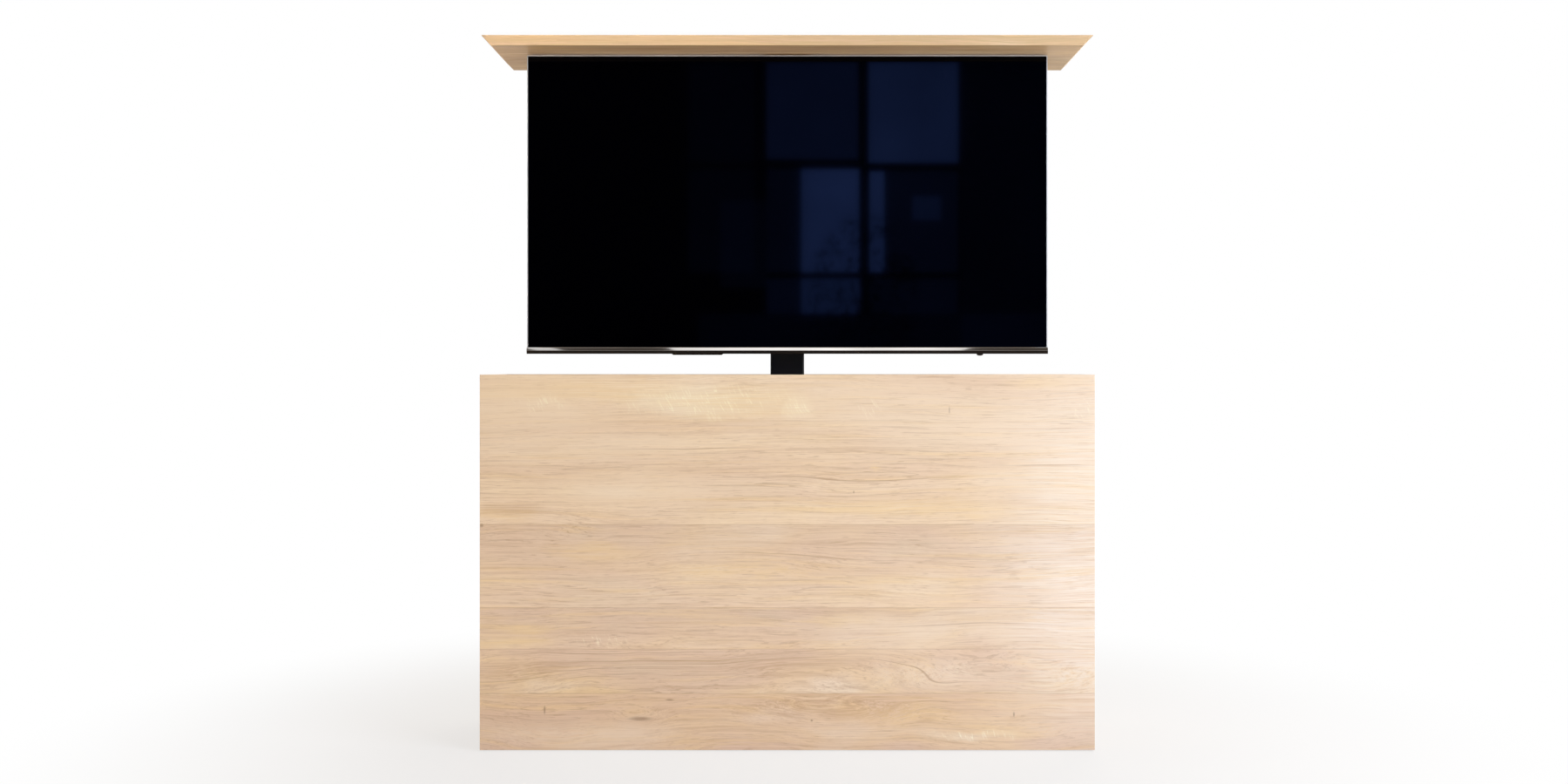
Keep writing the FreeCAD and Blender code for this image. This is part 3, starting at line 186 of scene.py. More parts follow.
def makeOak(name, rotation, joints, tones, marks=None, seed=0, shade="FFFFFF", depths=None, undersideShade=None):
    s = oakSettings
    paints = {key: linear(colour) for key, colour in s["paints"].items()}
    marks = marks or {}
    material, add, shader, place = newMaterial(name)
    turned = add("Mapping", {"Vector": place, "Rotation": rotation})
    across = add("SeparateXYZ", (turned,), "Z")

    # every stave has its own tone, wave and pattern, picked by its number
    count = len(joints) + 1
    number = 0
    for z in joints:
        above = add("Math GREATER_THAN", (across, z))
        number = add("Math MULTIPLY_ADD", (above, 1 / count, number))

    def perStave(values):
        stops = [(max(0, (index - 0.5) / count), value) for index, value in enumerate(values)]
        ramp = add("ValToRGB", (number,), None, stops)
        ramp.color_ramp.interpolation = "CONSTANT"
        return ramp.outputs

    staveColour, staveGrey = perStave(tones)
    staveTone, staveWave, stavePattern = add("SeparateColor", (staveColour,), None).outputs
    offset = add("VectorMath MULTIPLY_ADD", (stavePattern, s["patternShift"], (0, 0, seed)))
    local = add("VectorMath ADD", (turned, offset))

    # slow bends of the grain, which also sweeps round knots and old branches
    slow = stretchedNoise(add, local, *s["bends"])
    lift = add("MapRange", (slow, 0.2, 0.8, -s["bendReach"], s["bendReach"]), clamp=False)
    lift = add("Math MULTIPLY", (lift, staveWave))
    for mark, rise in marks.get("bend", ()):
        swell = ovalMark(add, turned, mark)
        lift = add("Math MULTIPLY_ADD", (swell, rise, lift))
    bent = add("VectorMath ADD", (local, add("CombineXYZ", {"Y": lift, "Z": lift})))

    def lines(kind):
        length, pitch, detail, roughness = s[kind]
        return stretchedNoise(add, bent, (1 / length, 0.5 / pitch, 1 / pitch), detail, roughness)

    patterns = {layer[0]: lines(layer[0]) for layer in s["layers"]}
    fibres = patterns["fibres"]
    clouds = stretchedNoise(add, local, *s["clouds"])
    tint = add("ValToRGB", (clouds,), stops=[(level, paints[paint]) for level, paint in s["cloudStops"]])
    layers = [(paints["pale"], staveTone), (paints["grey"], staveGrey)]
    for kind, paint, start, full, strength in s["layers"]:
        share = add("MapRange", (patterns[kind], start, full, 0, strength))
        if kind == "rings":
            share = add("Math MULTIPLY", (share, add("MapRange", (staveWave, 0, 1, *s["ringDepth"]))))
        layers.append((paints[paint], share))
    # single dark year lines, then pores
    hair = add("Math COMPARE", (lines("hairs"), 0.5, s["hairWidth"]))
    hair = add("Math MULTIPLY", (hair, add("MapRange", (clouds, *s["hairDepth"]))))
    pores = add("MapRange", (lines("pores"), *s["poreReach"]))
    layers += [(paints["pore"], hair), (paints["pore"], pores)]

    ragged = add("TexNoise", {"Vector": turned, "Scale": s["raggedCells"], "Detail": 3}, 1)
    ragged = add("VectorMath SUBTRACT", (ragged, (0.5, 0.5, 0.5)))
    ragged = add("VectorMath MULTIPLY_ADD", (ragged, s["raggedReach"], turned))
    # ray flecks: short pale strokes across the grain, only where a board is cut on the quarter
    if "fleck" in marks:
        slanted = add("Mapping", {"Vector": bent, "Rotation": (0, s["fleckSlant"], 0)})
        strokes = stretchedNoise(add, slanted, s["fleckCells"], 2, distortion=1.6)
        strokes = add("MapRange", (strokes, 0.56, 0.66))
        soft = add("MapRange", (fibres, 0.35, 0.65, 0.75, 0.25))
        patch = add("MapRange", (clouds, 0.45, 0.65, 0, 0.5))
        glow = add("Math MULTIPLY_ADD", (strokes, soft, patch))
        area = allMarks(add, ragged, marks["fleck"])
        layers.append((paints["fleck"], add("Math MULTIPLY", (area, glow))))
    # ragged marks lie in the fibres, and the long dark year lines follow the bends
    streaks = add("MapRange", (fibres, *s["streaks"]))
    flowing = add("VectorMath ADD", (turned, add("CombineXYZ", {"Z": lift})))
    grounds = {"ragged": ragged, "still": turned, "flowing": flowing}
    for kind, paint, strength, ground in s["markKinds"]:
        if kind in marks:
            area = allMarks(add, grounds[ground], marks[kind])
            share = add("Math MULTIPLY", (area, strength))
            if ground == "ragged":
                share = add("Math MULTIPLY", (share, streaks))
            layers.append((paints[paint], share))

    # glue lines between the staves
    seam = 0
    for z in joints:
        near = add("Math COMPARE", (across, z, s["seamWidth"] / 2))
        seam = add("Math MULTIPLY_ADD", (near, s["seamStrength"], seam))
    layers.append((paints["pore"], seam))
    # each stave changes its tint from its lower to its upper edge
    if depths:
        edges = zip((0, *joints), (*joints, s["boardTop"]))
        ends = perStave([(low, high, 0, 1) for low, high in edges])[0]
        low, high = add("SeparateColor", (ends,), None).outputs[:2]
        rise = add("MapRange", (across, low, high))
        feet = perStave([(*foot, 1) for foot, head in depths])[0]
        heads = perStave([(*head, 1) for foot, head in depths])[0]
        layers.append((paintLayers(add, feet, ((heads, rise),)), 1, "MULTIPLY"))
    # painted shade: below a height the colour is darkened, as the lid's lower face lies in shade
    if undersideShade:
        level, tone = undersideShade
        height = add("SeparateXYZ", (place,), "Z")
        layers.append((tone, add("Math LESS_THAN", (height, level)), "MULTIPLY"))
    layers.append((linear(shade), 1, "MULTIPLY"))

    relief = add("Math SUBTRACT", (fibres, pores))
    setInputs(shader, {
        "Base Color": paintLayers(add, tint, layers),
        "Roughness": add("MapRange", (fibres, 0.3, 0.7, *s["roughness"])),
        "Normal": add("Bump", {"Height": relief, **s["relief"]})})
    return material


# tone, wave and pattern of each stave, from the floor up
frontTones = (
    (0.2, 0.9, 0.13, 0.1), (0.15, 1, 0.71, 0.05), (0.25, 0.6, 0.42, 0.25), (0.4, 0.35, 0.87, 0.2),
    (0.65, 0.3, 0.25, 0))
frontJoints = (0.1327, 0.2347, 0.3297, 0.5207)
# tint of each stave at its lower and its upper edge
frontDepths = (
    ((0.93, 0.96, 1.03), (0.96, 0.98, 1.00)), ((0.97, 1.02, 1.06), (1.00, 1.05, 1.12)),
    ((1.03, 1.09, 1.15), (0.97, 1.01, 1.08)), ((1.05, 1.11, 1.16), (0.93, 0.95, 0.97)),
    ((0.98, 1.01, 1.00), (0.93, 0.95, 0.94)))
frontMarks = {
    "fleck": [
        (-0.567, 0.795, 0.085, 0.03), (-0.19, 0.803, 0.26, 0.055), (0.02, 0.79, 0.06, 0.04),
        (0.19, 0.785, 0.05, 0.03), (0.44, 0.036, 0.16, 0.015), (0.68, 0.79, 0.03, 0.03),
        (-0.43, 0.255, 0.09, 0.02),
    ],
    "yellow": [
        (-0.65, 0.545, 0.1, 0.022), (0.195, 0.65, 0.014, 0.01), (0.417, 0.545, 0.17, 0.016),
        (-0.6, 0.28, 0.09, 0.02), (-0.16, 0.8, 0.22, 0.02), (0.58, 0.845, 0.12, 0.02),
        (-0.45, 0.46, 0.16, 0.03), (0.12, 0.3, 0.12, 0.02), (0.26, 0.085, 0.2, 0.04),
        (-0.5, 0.83, 0.4, 0.04), (0.3, 0.56, 0.4, 0.03), (-0.1, 0.415, 0.3, 0.02),
        (-0.62, 0.25, 0.14, 0.018), (-0.07, 0.8, 0.24, 0.06),
    ],
    "brown": [
        (0.09, 0.105, 0.26, 0.045), (-0.62, 0.185, 0.16, 0.03), (0.02, 0.2, 0.22, 0.03),
        (-0.55, 0.06, 0.14, 0.02), (-0.64, 0.556, 0.13, 0.022),
    ],
    "line": [
        (0.14, 0.632, 0.34, 0.002), (-0.22, 0.694, 0.26, 0.0016), (0.6, 0.659, 0.14, 0.0016),
        (-0.3, 0.2, 0.46, 0.0024), (-0.15, 0.186, 0.5, 0.0018), (-0.42, 0.174, 0.3, 0.0016),
        (0.05, 0.44, 0.3, 0.0016), (0.42, 0.29, 0.3, 0.0016), (-0.46, 0.226, 0.28, 0.0018),
        (-0.02, 0.228, 0.16, 0.0018), (-0.62, 0.163, 0.16, 0.0018), (0.3, 0.178, 0.2, 0.0014),
    ],
    # painted highlight: a pale wash over the front's right side, where the lamp's sheen falls
    "bleached": [(0.72, 0.52, 0.36, 0.6)],
    "pale": [
        (0.2, 0.8, 0.34, 0.1), (-0.35, 0.6, 0.3, 0.06), (-0.6, 0.76, 0.26, 0.16), (0.55, 0.28, 0.3, 0.04),
        (-0.4, 0.7, 0.36, 0.05), (0.66, 0.13, 0.28, 0.17), (0.37, 0.745, 0.3, 0.08),
        (-0.52, 0.04, 0.32, 0.05), (0.36, 0.175, 0.24, 0.05), (0.24, 0.27, 0.26, 0.06),
        (-0.66, 0.8, 0.16, 0.1),
    ],
    "bend": [
        ((0.1, 0.185, 0.34, 0.055), -0.024), ((0.44, 0.165, 0.36, 0.07), 0.018),
        ((-0.3375, 0.078, 0.1, 0.03), 0.012), ((-0.25, 0.225, 0.4, 0.04), 0.016),
        ((-0.6, 0.52, 0.2, 0.05), -0.014), ((0.23, 0.6, 0.36, 0.05), 0.01),
        ((0.09, 0.085, 0.26, 0.045), 0.02), ((-0.1, 0.44, 0.3, 0.05), -0.014),
    ],
    "knot": [
        (-0.7015, 0.5187, 0.006, 0.006), (-0.557, 0.0947, 0.003, 0.014), (-0.3375, 0.0747, 0.038, 0.007),
        (0.52, 0.085, 0.003, 0.008), (0.056, 0.071, 0.004, 0.004), (0.372, 0.783, 0.0016, 0.012),
        (0.1525, 0.595, 0.002, 0.005), (-0.27, 0.118, 0.014, 0.003),
    ],
}
sideTones = (
    (0.3, 0.7, 0.31, 0.1), (0.1, 0.8, 0.55, 0), (0.42, 0.5, 0.93, 0.2), (0.22, 0.4, 0.19, 0),
    (0.5, 0.4, 0.66, 0.1))
backTones = (
    (0.18, 0.7, 0.81, 0), (0.34, 0.9, 0.37, 0.2), (0.16, 0.6, 0.05, 0), (0.42, 0.5, 0.58, 0.1),
    (0.3, 0.4, 0.92, 0))
lidJoints = (-0.098, -0.012, 0.079)
lidTones = ((0.16, 0.5, 0.47, 0), (0.42, 0.7, 0.09, 0), (0.22, 0.8, 0.78, 0.1), (0.36, 0.5, 0.33, 0))
oakFront = makeOak("oiled oak front", (0, 0, 0), frontJoints, frontTones, frontMarks, depths=frontDepths)
oakSide = makeOak("oiled oak side", (0, 0, quarter), frontJoints, sideTones, seed=3.1)
oakBack = makeOak("oiled oak back", (0, 0, 0), frontJoints, backTones, seed=7.7)
lidMarks = {
    # painted light and shade: tints the lid's whole front band, which faces forward and down, to the tone
    # its lighting gives it
    "golden": [(-0.2, -0.168, 3, 0.04)],
    "brown": [
        (-0.62, -0.02, 0.16, 0.14), (-0.34, -0.112, 0.15, 0.022), (-0.08, -0.085, 0.16, 0.018),
        (0.12, -0.125, 0.22, 0.014), (0.44, -0.1, 0.16, 0.02), (0.62, 0.05, 0.05, 0.05),
    ],
}
# painted shade under the lid: below this height its colour is multiplied by this darker tone
lidUndersideShade = (1.6255, (0.94, 0.9, 0.79, 1))
oakLid = makeOak(
    "oiled oak lid", (quarter, 0, 0), lidJoints, lidTones, lidMarks, seed=5.3, shade="FFFCF4",
    undersideShade=lidUndersideShade)
oakInside = makeOak("sanded oak inside", (quarter, 0, 0), (0,), sideTones[:2], seed=9.4, shade="E8DCCB")


# Birch plywood, cut: thin veneers of two tones along the sheet's edge
plywoodShape = {
    "veneers": {"Scale": 180, "Distortion": 0.6, "Detail": 1}, "tones": ("C9A878", "E3C797"),
    "roughness": 0.75,
}


def makePlywood():
    s = plywoodShape
    material, add, shader, place = newMaterial("birch plywood")
    wave = add("TexWave", {"Vector": place, **s["veneers"]}, 1, wave_type="BANDS", bands_direction="Y")
    veneers = add("ValToRGB", (wave,), stops=twoTones(s["tones"]))
    setInputs(shader, {"Base Color": veneers, "Roughness": s["roughness"]})
    return material


# a plain finish broken up by fine noise in its colour, gloss and relief; grain is in metres
def makeFinish(name, colours, roughness, grain, relief, metallic=0, stretch=(1, 1, 1), specular=0.5):
    material, add, shader, place = newMaterial(name)
    scaled = add("Mapping", {"Vector": place, "Scale": stretch})
    fine = add("TexNoise", {"Vector": scaled, "Scale": 1 / grain, "Detail": 2, "Roughness": 0.6})
    broad = add("TexNoise", {"Vector": scaled, "Scale": 0.09 / grain ** 0.5, "Detail": 3})
    setInputs(shader, {
        "Base Color": add("ValToRGB", (broad,), stops=twoTones(colours)),
        "Roughness": add("MapRange", (fine, 0.3, 0.7, *roughness)),
        "Normal": add("Bump", {"Height": fine, "Strength": relief, "Distance": grain * 0.3}),
        "Metallic": metallic, "Specular IOR Level": specular})
    return material


plywood = makePlywood()
# Zinc-plated steel: thin bright plating with a faint blue-grey cast and patchy gloss
zincSteel = makeFinish("zinc plated steel", ("A9AEB2", "C3C7C9"), (0.26, 0.4), 0.0012, 0.12, 1)
# Powder-coated steel: baked black powder with a very fine orange peel, satin
powderCoat = makeFinish(
    "black powder coat", ("04070F", "080C17"), (0.42, 0.55), 0.0011, 0.3, specular=0.35)
# Enamelled cast iron and steel of the motor: smooth stoved paint
motorPaint = makeFinish("stoved motor enamel", ("1D1F22", "26282B"), (0.34, 0.44), 0.0018, 0.16)
# Moulded ABS with a spark-eroded surface: dull, even, tiny pits
mouldedAbs = makeFinish("moulded black ABS", ("151517", "1B1B1E"), (0.5, 0.66), 0.0008, 0.42)
# Acetal, moulded: smoother and glossier than ABS
acetal = makeFinish("moulded acetal", ("1A1A1C", "222225"), (0.3, 0.4), 0.0015, 0.1)
# Tin bronze, turned: warm yellow metal with an uneven gloss
tinBronze = makeFinish("turned tin bronze", ("A9803F", "C79B55"), (0.24, 0.38), 0.0008, 0.2, 1)
# Polyurethane timing belt: dry, dark, slightly chalky
beltRubber = makeFinish("polyurethane belt", ("1C1C1D", "2A2A2B"), (0.62, 0.8), 0.001, 0.35)
# Satin anodised aluminium: fine lines along an edge that is pale from every side
trimAluminium = makeFinish(
    "satin anodised aluminium", ("B9BCC0", "CBCED1"), (0.42, 0.54), 0.0007, 0.1, 0.45, (0.03, 1, 1))
# Rolled aluminium sheet: bright with long roll lines
rolledAluminium = makeFinish(
    "rolled aluminium sheet", ("9EA3A7", "B9BDC0"), (0.3, 0.46), 0.001, 0.12, 1, (0.05, 1, 1))
# Lacquered solder mask over copper: glossy green
solderMask = makeFinish("solder mask", ("0E4A26", "13592F"), (0.18, 0.28), 0.003, 0.15)
# Polished ABS button: glossy black with faint handling marks
glossAbs = makeFinish("polished ABS", ("0C0C0E", "131316"), (0.1, 0.2), 0.002, 0.05)
# Black epoxy of chips and sockets: dull, with tiny specks
chipEpoxy = makeFinish("chip epoxy", ("17181A", "202124"), (0.45, 0.6), 0.0006, 0.25)
# Wool felt under the glides: soft and matt
woolFelt = makeFinish("wool felt", ("3A3835", "4A4743"), (0.85, 0.95), 0.0012, 0.9)
# Tinned shells of the sockets: bright grey metal
contactTin = makeFinish("tinned contact", ("B5B3AC", "CFCDC6"), (0.2, 0.32), 0.001, 0.08, 1)


# Display glass: a hard coated sheet over a black panel, so it is near black and mirror smooth
glassShape = {
    "tones": ("000001", "010103"), "ior": 1.46, "gloss": (0.025, 0.05),
    "border": (1.6045, 1.6065, 0.5, 0.06),  # heights where the border starts and is full
}


def makeDisplayGlass():
    s = glassShape
    material, add, shader, place = newMaterial("coated display glass")
    cells = add("TexNoise", {"Vector": place, "Scale": 900, "Detail": 1})
    smear = add("TexNoise", {"Vector": place, "Scale": 3, "Detail": 3})
    # the printed border along the top swallows light
    height = add("SeparateXYZ", (place,), "Z")
    setInputs(shader, {
        "Base Color": add("ValToRGB", (cells,), stops=twoTones(s["tones"], 0.4, 0.6)),
        "Roughness": add("MapRange", (smear, 0, 1, *s["gloss"])),
        "IOR": s["ior"],
        "Specular IOR Level": add("MapRange", (height, *s["border"]))})
    return material


# Dark chrome on ABS: mirror-like plating with a faint warm grey
chromeShape = {"cells": (4, 60, 60), "tones": ("9A9794", "B4B1AE"), "gloss": (0.03, 0.08)}


def makeDarkChrome():
    s = chromeShape
    material, add, shader, place = newMaterial("dark chrome plating")
    streaks = stretchedNoise(add, place, s["cells"], 3)
    setInputs(shader, {
        "Base Color": add("ValToRGB", (streaks,), stops=twoTones(s["tones"])),
        "Roughness": add("MapRange", (streaks, 0, 1, *s["gloss"])), "Metallic": 1})
    return material


displayGlass = makeDisplayGlass()
darkChrome = makeDarkChrome()
finishes = {
    oakFront: ("front_panel",),
    oakSide: ("side_panel_left", "side_panel_right"),
    oakBack: ("back_top_rail", "back_service_panel"),
    oakLid: ("lid_panel",),
    oakInside: ("bottom_panel", "bottom_battens", "corner_blocks", "back_cleats"),
    plywood: ("corner_splines",),
    zincSteel: ("service_screws", "base_bolts", "control_screws", "nut_screws", "lid_screws",
                "hanger_bolts", "tv_arm_screws", "lead_screw", "pulley_brackets", "tv_bushes"),
    powderCoat: ("base_plate", "outer_column", "middle_column", "inner_column", "lid_plate",
                 "hanger", "mount_rails", "tv_arm_left", "tv_arm_right"),
    motorPaint: ("gearbox_housing", "motor"),
    acetal: ("outer_collar", "middle_collar", "middle_shoe", "inner_shoe", "glide_feet",
             "lower_pulley", "upper_pulley"),
    mouldedAbs: ("cable_grommet", "outer_belt_clamp", "inner_belt_clamp", "control_box",
                 "tv_back", "tv_housing", "tv_speakers"),
    tinBronze: ("spindle_nut",),
    beltRubber: ("cascade_belt",),
    trimAluminium: ("tv_trim",),
    displayGlass: ("tv_screen",),
    darkChrome: ("tv_chin",),
    rolledAluminium: ("tv_chassis",),
    solderMask: ("tv_boards",),
    glossAbs: ("tv_power_button",),
}
for material, names in finishes.items():
    for name in names:
        slots = nodes[name].material_slots
        if not slots:
            nodes[name].data.materials.append(material)
        for slot in slots:
            slot.material = material
print("materials made:", len(bpy.data.materials))


# Modelling helpers. Points are given in millimetres and stored in metres.
def point(x, y, z):
    return Vector((x, y, z)) * mm


def toAxis(start, direction):
    turn = Vector(up).rotation_difference(Vector(direction)).to_matrix().to_4x4()
    return Matrix.Translation(start) @ turn


def weld(bm, verts, reach=weldReach):
    bmesh.ops.remove_doubles(bm, verts=verts, dist=reach)


# a profile of (radius, height) in millimetres, spun round an axis
def spinProfile(bm, profile, start, direction=up, steps=48):
    place = toAxis(start, direction)
    before = set(bm.verts)
    verts = [bm.verts.new(place @ point(radius, 0, height)) for radius, height in profile]
    edges = [bm.edges.new(pair) for pair in zip(verts, verts[1:])]
    bmesh.ops.spin(
        bm, geom=verts + edges, cent=start, axis=place.to_3x3() @ Vector(up),
        angle=2 * math.pi, steps=steps, use_merge=True)
    weld(bm, [vert for vert in bm.verts if vert not in before], 10 * weldReach)


def edgesOf(verts):
    return {edge for vert in verts for edge in vert.link_edges}


def softenEdges(bm, edges, radius, segments=2):
    bmesh.ops.bevel(
        bm, geom=list(edges), offset=radius * mm, segments=segments, affect="EDGES", profile=0.5,
        material=-1)


def addBlock(bm, low, high, bevel, segments=2):
    place = Matrix.Translation((low + high) / 2) @ Matrix.Diagonal((*(high - low), 1))
    made = bmesh.ops.create_cube(bm, size=1, matrix=place)
    softenEdges(bm, edgesOf(made["verts"]), bevel, segments)


# a six-sided rod round an axis, from a start to an end, in metres
def addHexagon(bm, radius, start, end):
    way = end - start
    made = bmesh.ops.create_cone(
        bm, cap_ends=True, segments=6, radius1=radius * mm, radius2=radius * mm, depth=way.length,
        matrix=toAxis((start + end) / 2, way.normalized()))
    return made["verts"]


# gives flat faces their depth along X
def extrudeAcross(bm, faces, width):
    made = bmesh.ops.extrude_face_region(bm, geom=faces, use_keep_orig=True)
    moved = [item for item in made["geom"] if isinstance(item, bmesh.types.BMVert)]
    bmesh.ops.translate(bm, vec=point(width, 0, 0), verts=moved)


def linkObject(name, data):
    made = bpy.data.objects.new(name, data)
    scene.collection.objects.link(made)
    return made


def meshObject(name, bm, material):
    mesh = bpy.data.meshes.new(name)
    bm.to_mesh(mesh)
    bm.free()
    mesh.materials.append(material)
    return linkObject(name, mesh)


def finishPiece(name, bm, body, material, replaced=(), smoothAngle=35):
    bmesh.ops.recalc_face_normals(bm, faces=bm.faces[:])
    for face in bm.faces:
        face.smooth = True
    piece = meshObject(name, bm, material)
    piece.data.set_sharp_from_angle(angle=math.radians(smoothAngle))
    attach(piece, body)
    if replaced:
        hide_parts(*replaced)


# Spindle: a four-start trapezoidal thread, 16 mm of rise a turn
spindleShape = {
    "low": 61, "high": 535, "y": 76.5, "rise": 16, "starts": 4, "journal": 34, "tip": 8,
    "stepsPerTurn": 24,
    "thread": ((0, 6.2), (0.14, 6.2), (0.3, 8), (0.5, 8), (0.66, 6.2), (0.83, 6.2)),
    "foot": ((0, 0), (6.5, 0), (8, 1.5), (8, 32.5), (6.2, 34.2), (0, 34.2)),
    "head": ((0, -8.2), (6.2, -8.2), (6, -1), (5, 0), (0, 0)),
}


def makeSpindle():
    s = spindleShape
    bm = bmesh.new()
    threaded = s["high"] - s["low"] - s["journal"] - s["tip"]
    around = s["starts"] * len(s["thread"])
    steps = int(threaded / s["rise"] * s["stepsPerTurn"])
    # the thread is a grid rolled into a tube, with each ring turned a little on the last
    bmesh.ops.create_grid(bm, x_segments=around, y_segments=steps, size=1)
    for vert in bm.verts:
        index = round((vert.co.x + 1) / 2 * around) % around
        share, radius = s["thread"][index % len(s["thread"])]
        along = (vert.co.y + 1) / 2 * threaded
        angle = 2 * math.pi * ((index // len(s["thread"]) + share) / s["starts"] + along / s["rise"])
        vert.co = point(
            radius * math.cos(angle), s["y"] + radius * math.sin(angle), s["low"] + s["journal"] + along)
    weld(bm, bm.verts[:], 10 * weldReach)
    bmesh.ops.holes_fill(bm, edges=[edge for edge in bm.edges if edge.is_boundary])
    spinProfile(bm, s["foot"], point(0, s["y"], s["low"]))
    spinProfile(bm, s["head"], point(0, s["y"], s["high"]))
    finishPiece("threadedSpindle", bm, "spindle", zincSteel, ("lead_screw",), 30)


# Power button: a shallow dome on a stem, under the television's lower edge
buttonShape = {
    "x": 458, "y": -43, "seat": 914, "radius": 7.9, "drop": 4.75, "rim": 0.22,
    "domeSteps": 8, "domeTurn": 10, "squareness": 0.8, "flatness": 0.3,
    "stem": ((7.9, 1.3), (7.6, 1.5), (3, 1.5), (3, 8.3), (2.8, 8.5), (0, 8.5)),
}


def makePowerButton():
    s = buttonShape
    radius, drop, flatness = s["radius"], s["drop"], s["flatness"]
    bm = bmesh.new()
    dome = [(0, -drop)]
    for index in range(1, s["domeSteps"] + 1):
        turn = math.radians(index * s["domeTurn"])
        height = -drop * (flatness + (1 - flatness) * math.cos(turn))
        dome.append((radius * math.sin(turn) ** s["squareness"], height))
    dome.append((radius, -drop * s["rim"]))
    spinProfile(bm, (*dome, *s["stem"]), point(s["x"], s["y"], s["seat"]), steps=40)
    finishPiece("powerButton", bm, "power_key", glossAbs, ("tv_power_button",), 28)


# the box round each loose solid of a node
def looseBoxes(name):
    bm = bmesh.new()
    bm.from_mesh(nodes[name].data)
    weld(bm, bm.verts[:])
    left = set(bm.verts)
    boxes = []
    while left:
        group, frontier = set(), [left.pop()]
        while frontier:
            vert = frontier.pop()
            group.add(vert)
            near = {link.other_vert(vert) for link in vert.link_edges} & left
            left -= near
            frontier += near
        boxes.append([
            Vector([pick(vert.co[axis] for vert in group) for axis in range(3)]) for pick in (min, max)])
    bm.free()
    return sorted(boxes, key=lambda box: tuple(round(value, 4) for value in box[0]))


# the place under a fastener's head, and the length of its shank
def seatOf(low, high, out, headHeight):
    axis = [abs(value) for value in out].index(1)
    end = high if sum(out) > 0 else low
    seat = (low + high) / 2
    seat[axis] = end[axis] - out[axis] * headHeight * mm
    return seat, (high[axis] - low[axis]) / mm - headHeight


# a ribbed shank that ends in a short point
def ribbedShank(radius, length, ribs):
    profile = []
    reach = ribs["first"]
    while reach > ribs["plain"] - length:
        profile += [(radius, reach), (radius * ribs["root"], reach - ribs["pitch"] / 2)]
        reach -= ribs["pitch"]
    return profile + [(radius * ribs["tip"], ribs["point"] - length), (0, -length)]


def finishFasteners(name, bm, body):
    label = "pieces" + name.title().replace("_", "")
    finishPiece(label, bm, body, zincSteel, (name,), 32)


# Small screws: a head with a recessed drive on a ribbed shank
screwRibs = {"first": -1.2, "plain": 2, "pitch": 1, "root": 0.86, "tip": 0.7, "point": 0.6}
screwKinds = {
    # node: direction of the head, head profile, drive radius and depth, body
    "service_screws": (
        back, ((4.1, -0.02), (4.15, -0.25), (2, -2.4)), (2, 1.6), "cabinet"),
    "lid_screws": (
        down, ((3.4, 3.2), (4.6, 2.4), (4.95, 1.2), (4.95, 0.1), (2.4, 0)), (1.9, 1.7), "carriage"),
    "tv_arm_screws": (
        back, ((4, 4.5), (5.4, 3.7), (5.95, 2.2), (5.95, 0.1), (3, 0)), (2.3, 2.2), "carriage"),
    "control_screws": (
        up, ((2.4, 0), (3.6, -0.7), (4, -1.3), (2, -2)), (1.7, 1.2), "cabinet"),
    "nut_screws": (
        up, ((1.6, 2), (2.3, 1.7), (2.55, 0.9), (2.55, 0.1), (1.5, 0)), (1.1, 1), "middle_stage"),
}
shortBy = 0.2  # shanks end this far before the solids they stand for


def makeSmallScrews():
    for name, (out, head, (drive, depth), body) in screwKinds.items():
        bm = bmesh.new()
        top = head[0][1]
        recess = [(0, top - depth), (drive * 0.75, top - depth), (drive, top)]
        for low, high in looseBoxes(name):
            seat, length = seatOf(low, high, out, top)
            shank = ribbedShank(head[-1][0], length - shortBy, screwRibs)
            spinProfile(bm, (*recess, *head, *shank), seat, out, 32)
        finishFasteners(name, bm, body)


# Hexagon bolts with washers at the base plate, the hanger and the rails
boltShape = {"shank": 4, "head": 6.5, "washer": 1.4, "edge": 0.45, "sunk": 0.5, "shortBy": 0.1}
boltRibs = {"first": -0.5, "plain": 1.5, "pitch": 1.1, "root": 0.9, "tip": 0.8, "point": 0.4}
boltKinds = {
    # node: body, head height, direction of the head for each axis the bolts lie along
    "base_bolts": ("cabinet", 5.3, {2: up}),
    "hanger_bolts": ("carriage", 4.5, {1: front, 2: down}),
}


def addHexBolt(bm, seat, out, headHeight, length):
    s = boltShape
    shank, head, washer = s["shank"], s["head"], s["washer"]
    spinProfile(bm, (
        (shank, 0), (head * 0.98, 0), (head, 0.25), (head, washer - 0.2), (head * 0.97, washer),
        (shank, washer), (shank, 0)), seat, out, 32)
    way = Vector(out)
    hexagon = addHexagon(bm, head * 0.96, seat + way * washer * mm, seat + way * headHeight * mm)
    softenEdges(bm, edgesOf(hexagon), s["edge"])
    top = washer + s["sunk"]
    spinProfile(bm, ((0, top), (shank, top), *ribbedShank(shank, length, boltRibs)), seat, out, 24)


def makeHexBolts():
    for name, (body, headHeight, directions) in boltKinds.items():
        bm = bmesh.new()
        for low, high in looseBoxes(name):
            size = high - low
            out = directions[max(range(3), key=lambda axis: size[axis])]
            seat, length = seatOf(low, high, out, headHeight)
            addHexBolt(bm, seat, out, headHeight, length - boltShape["shortBy"])
        finishFasteners(name, bm, body)


# Cable grommet: a round plastic sleeve with a softened flange
grommetShape = {
    "place": (-430, 175, 170),
    "profile": (
        (26.1, 0.5), (26.6, 0.05), (31.8, 0.05), (32.5, 0.45), (32.7, 1.2), (32.7, 1.95), (28.7, 1.95),
        (28.7, 19.6), (28.3, 20), (26.5, 20), (26.1, 19.6), (26.1, 0.5)),
}


def makeGrommet():
    bm = bmesh.new()
    spinProfile(bm, grommetShape["profile"], point(*grommetShape["place"]), front, 72)
    finishPiece("cableGrommet", bm, "cabinet", mouldedAbs, ("cable_grommet",))


# Glides: acetal discs with a felt face, on a short stem
glideShape = {
    "disc": (
        (0, 1), (16.8, 1), (16.8, 2.5), (16.3, 2.98), (3.85, 2.98), (3.85, 17.5), (3.45, 17.9), (0, 17.9)),
    "felt": ((0, 0), (15.5, 0), (16, 0.3), (16, 1), (0, 1)),
}


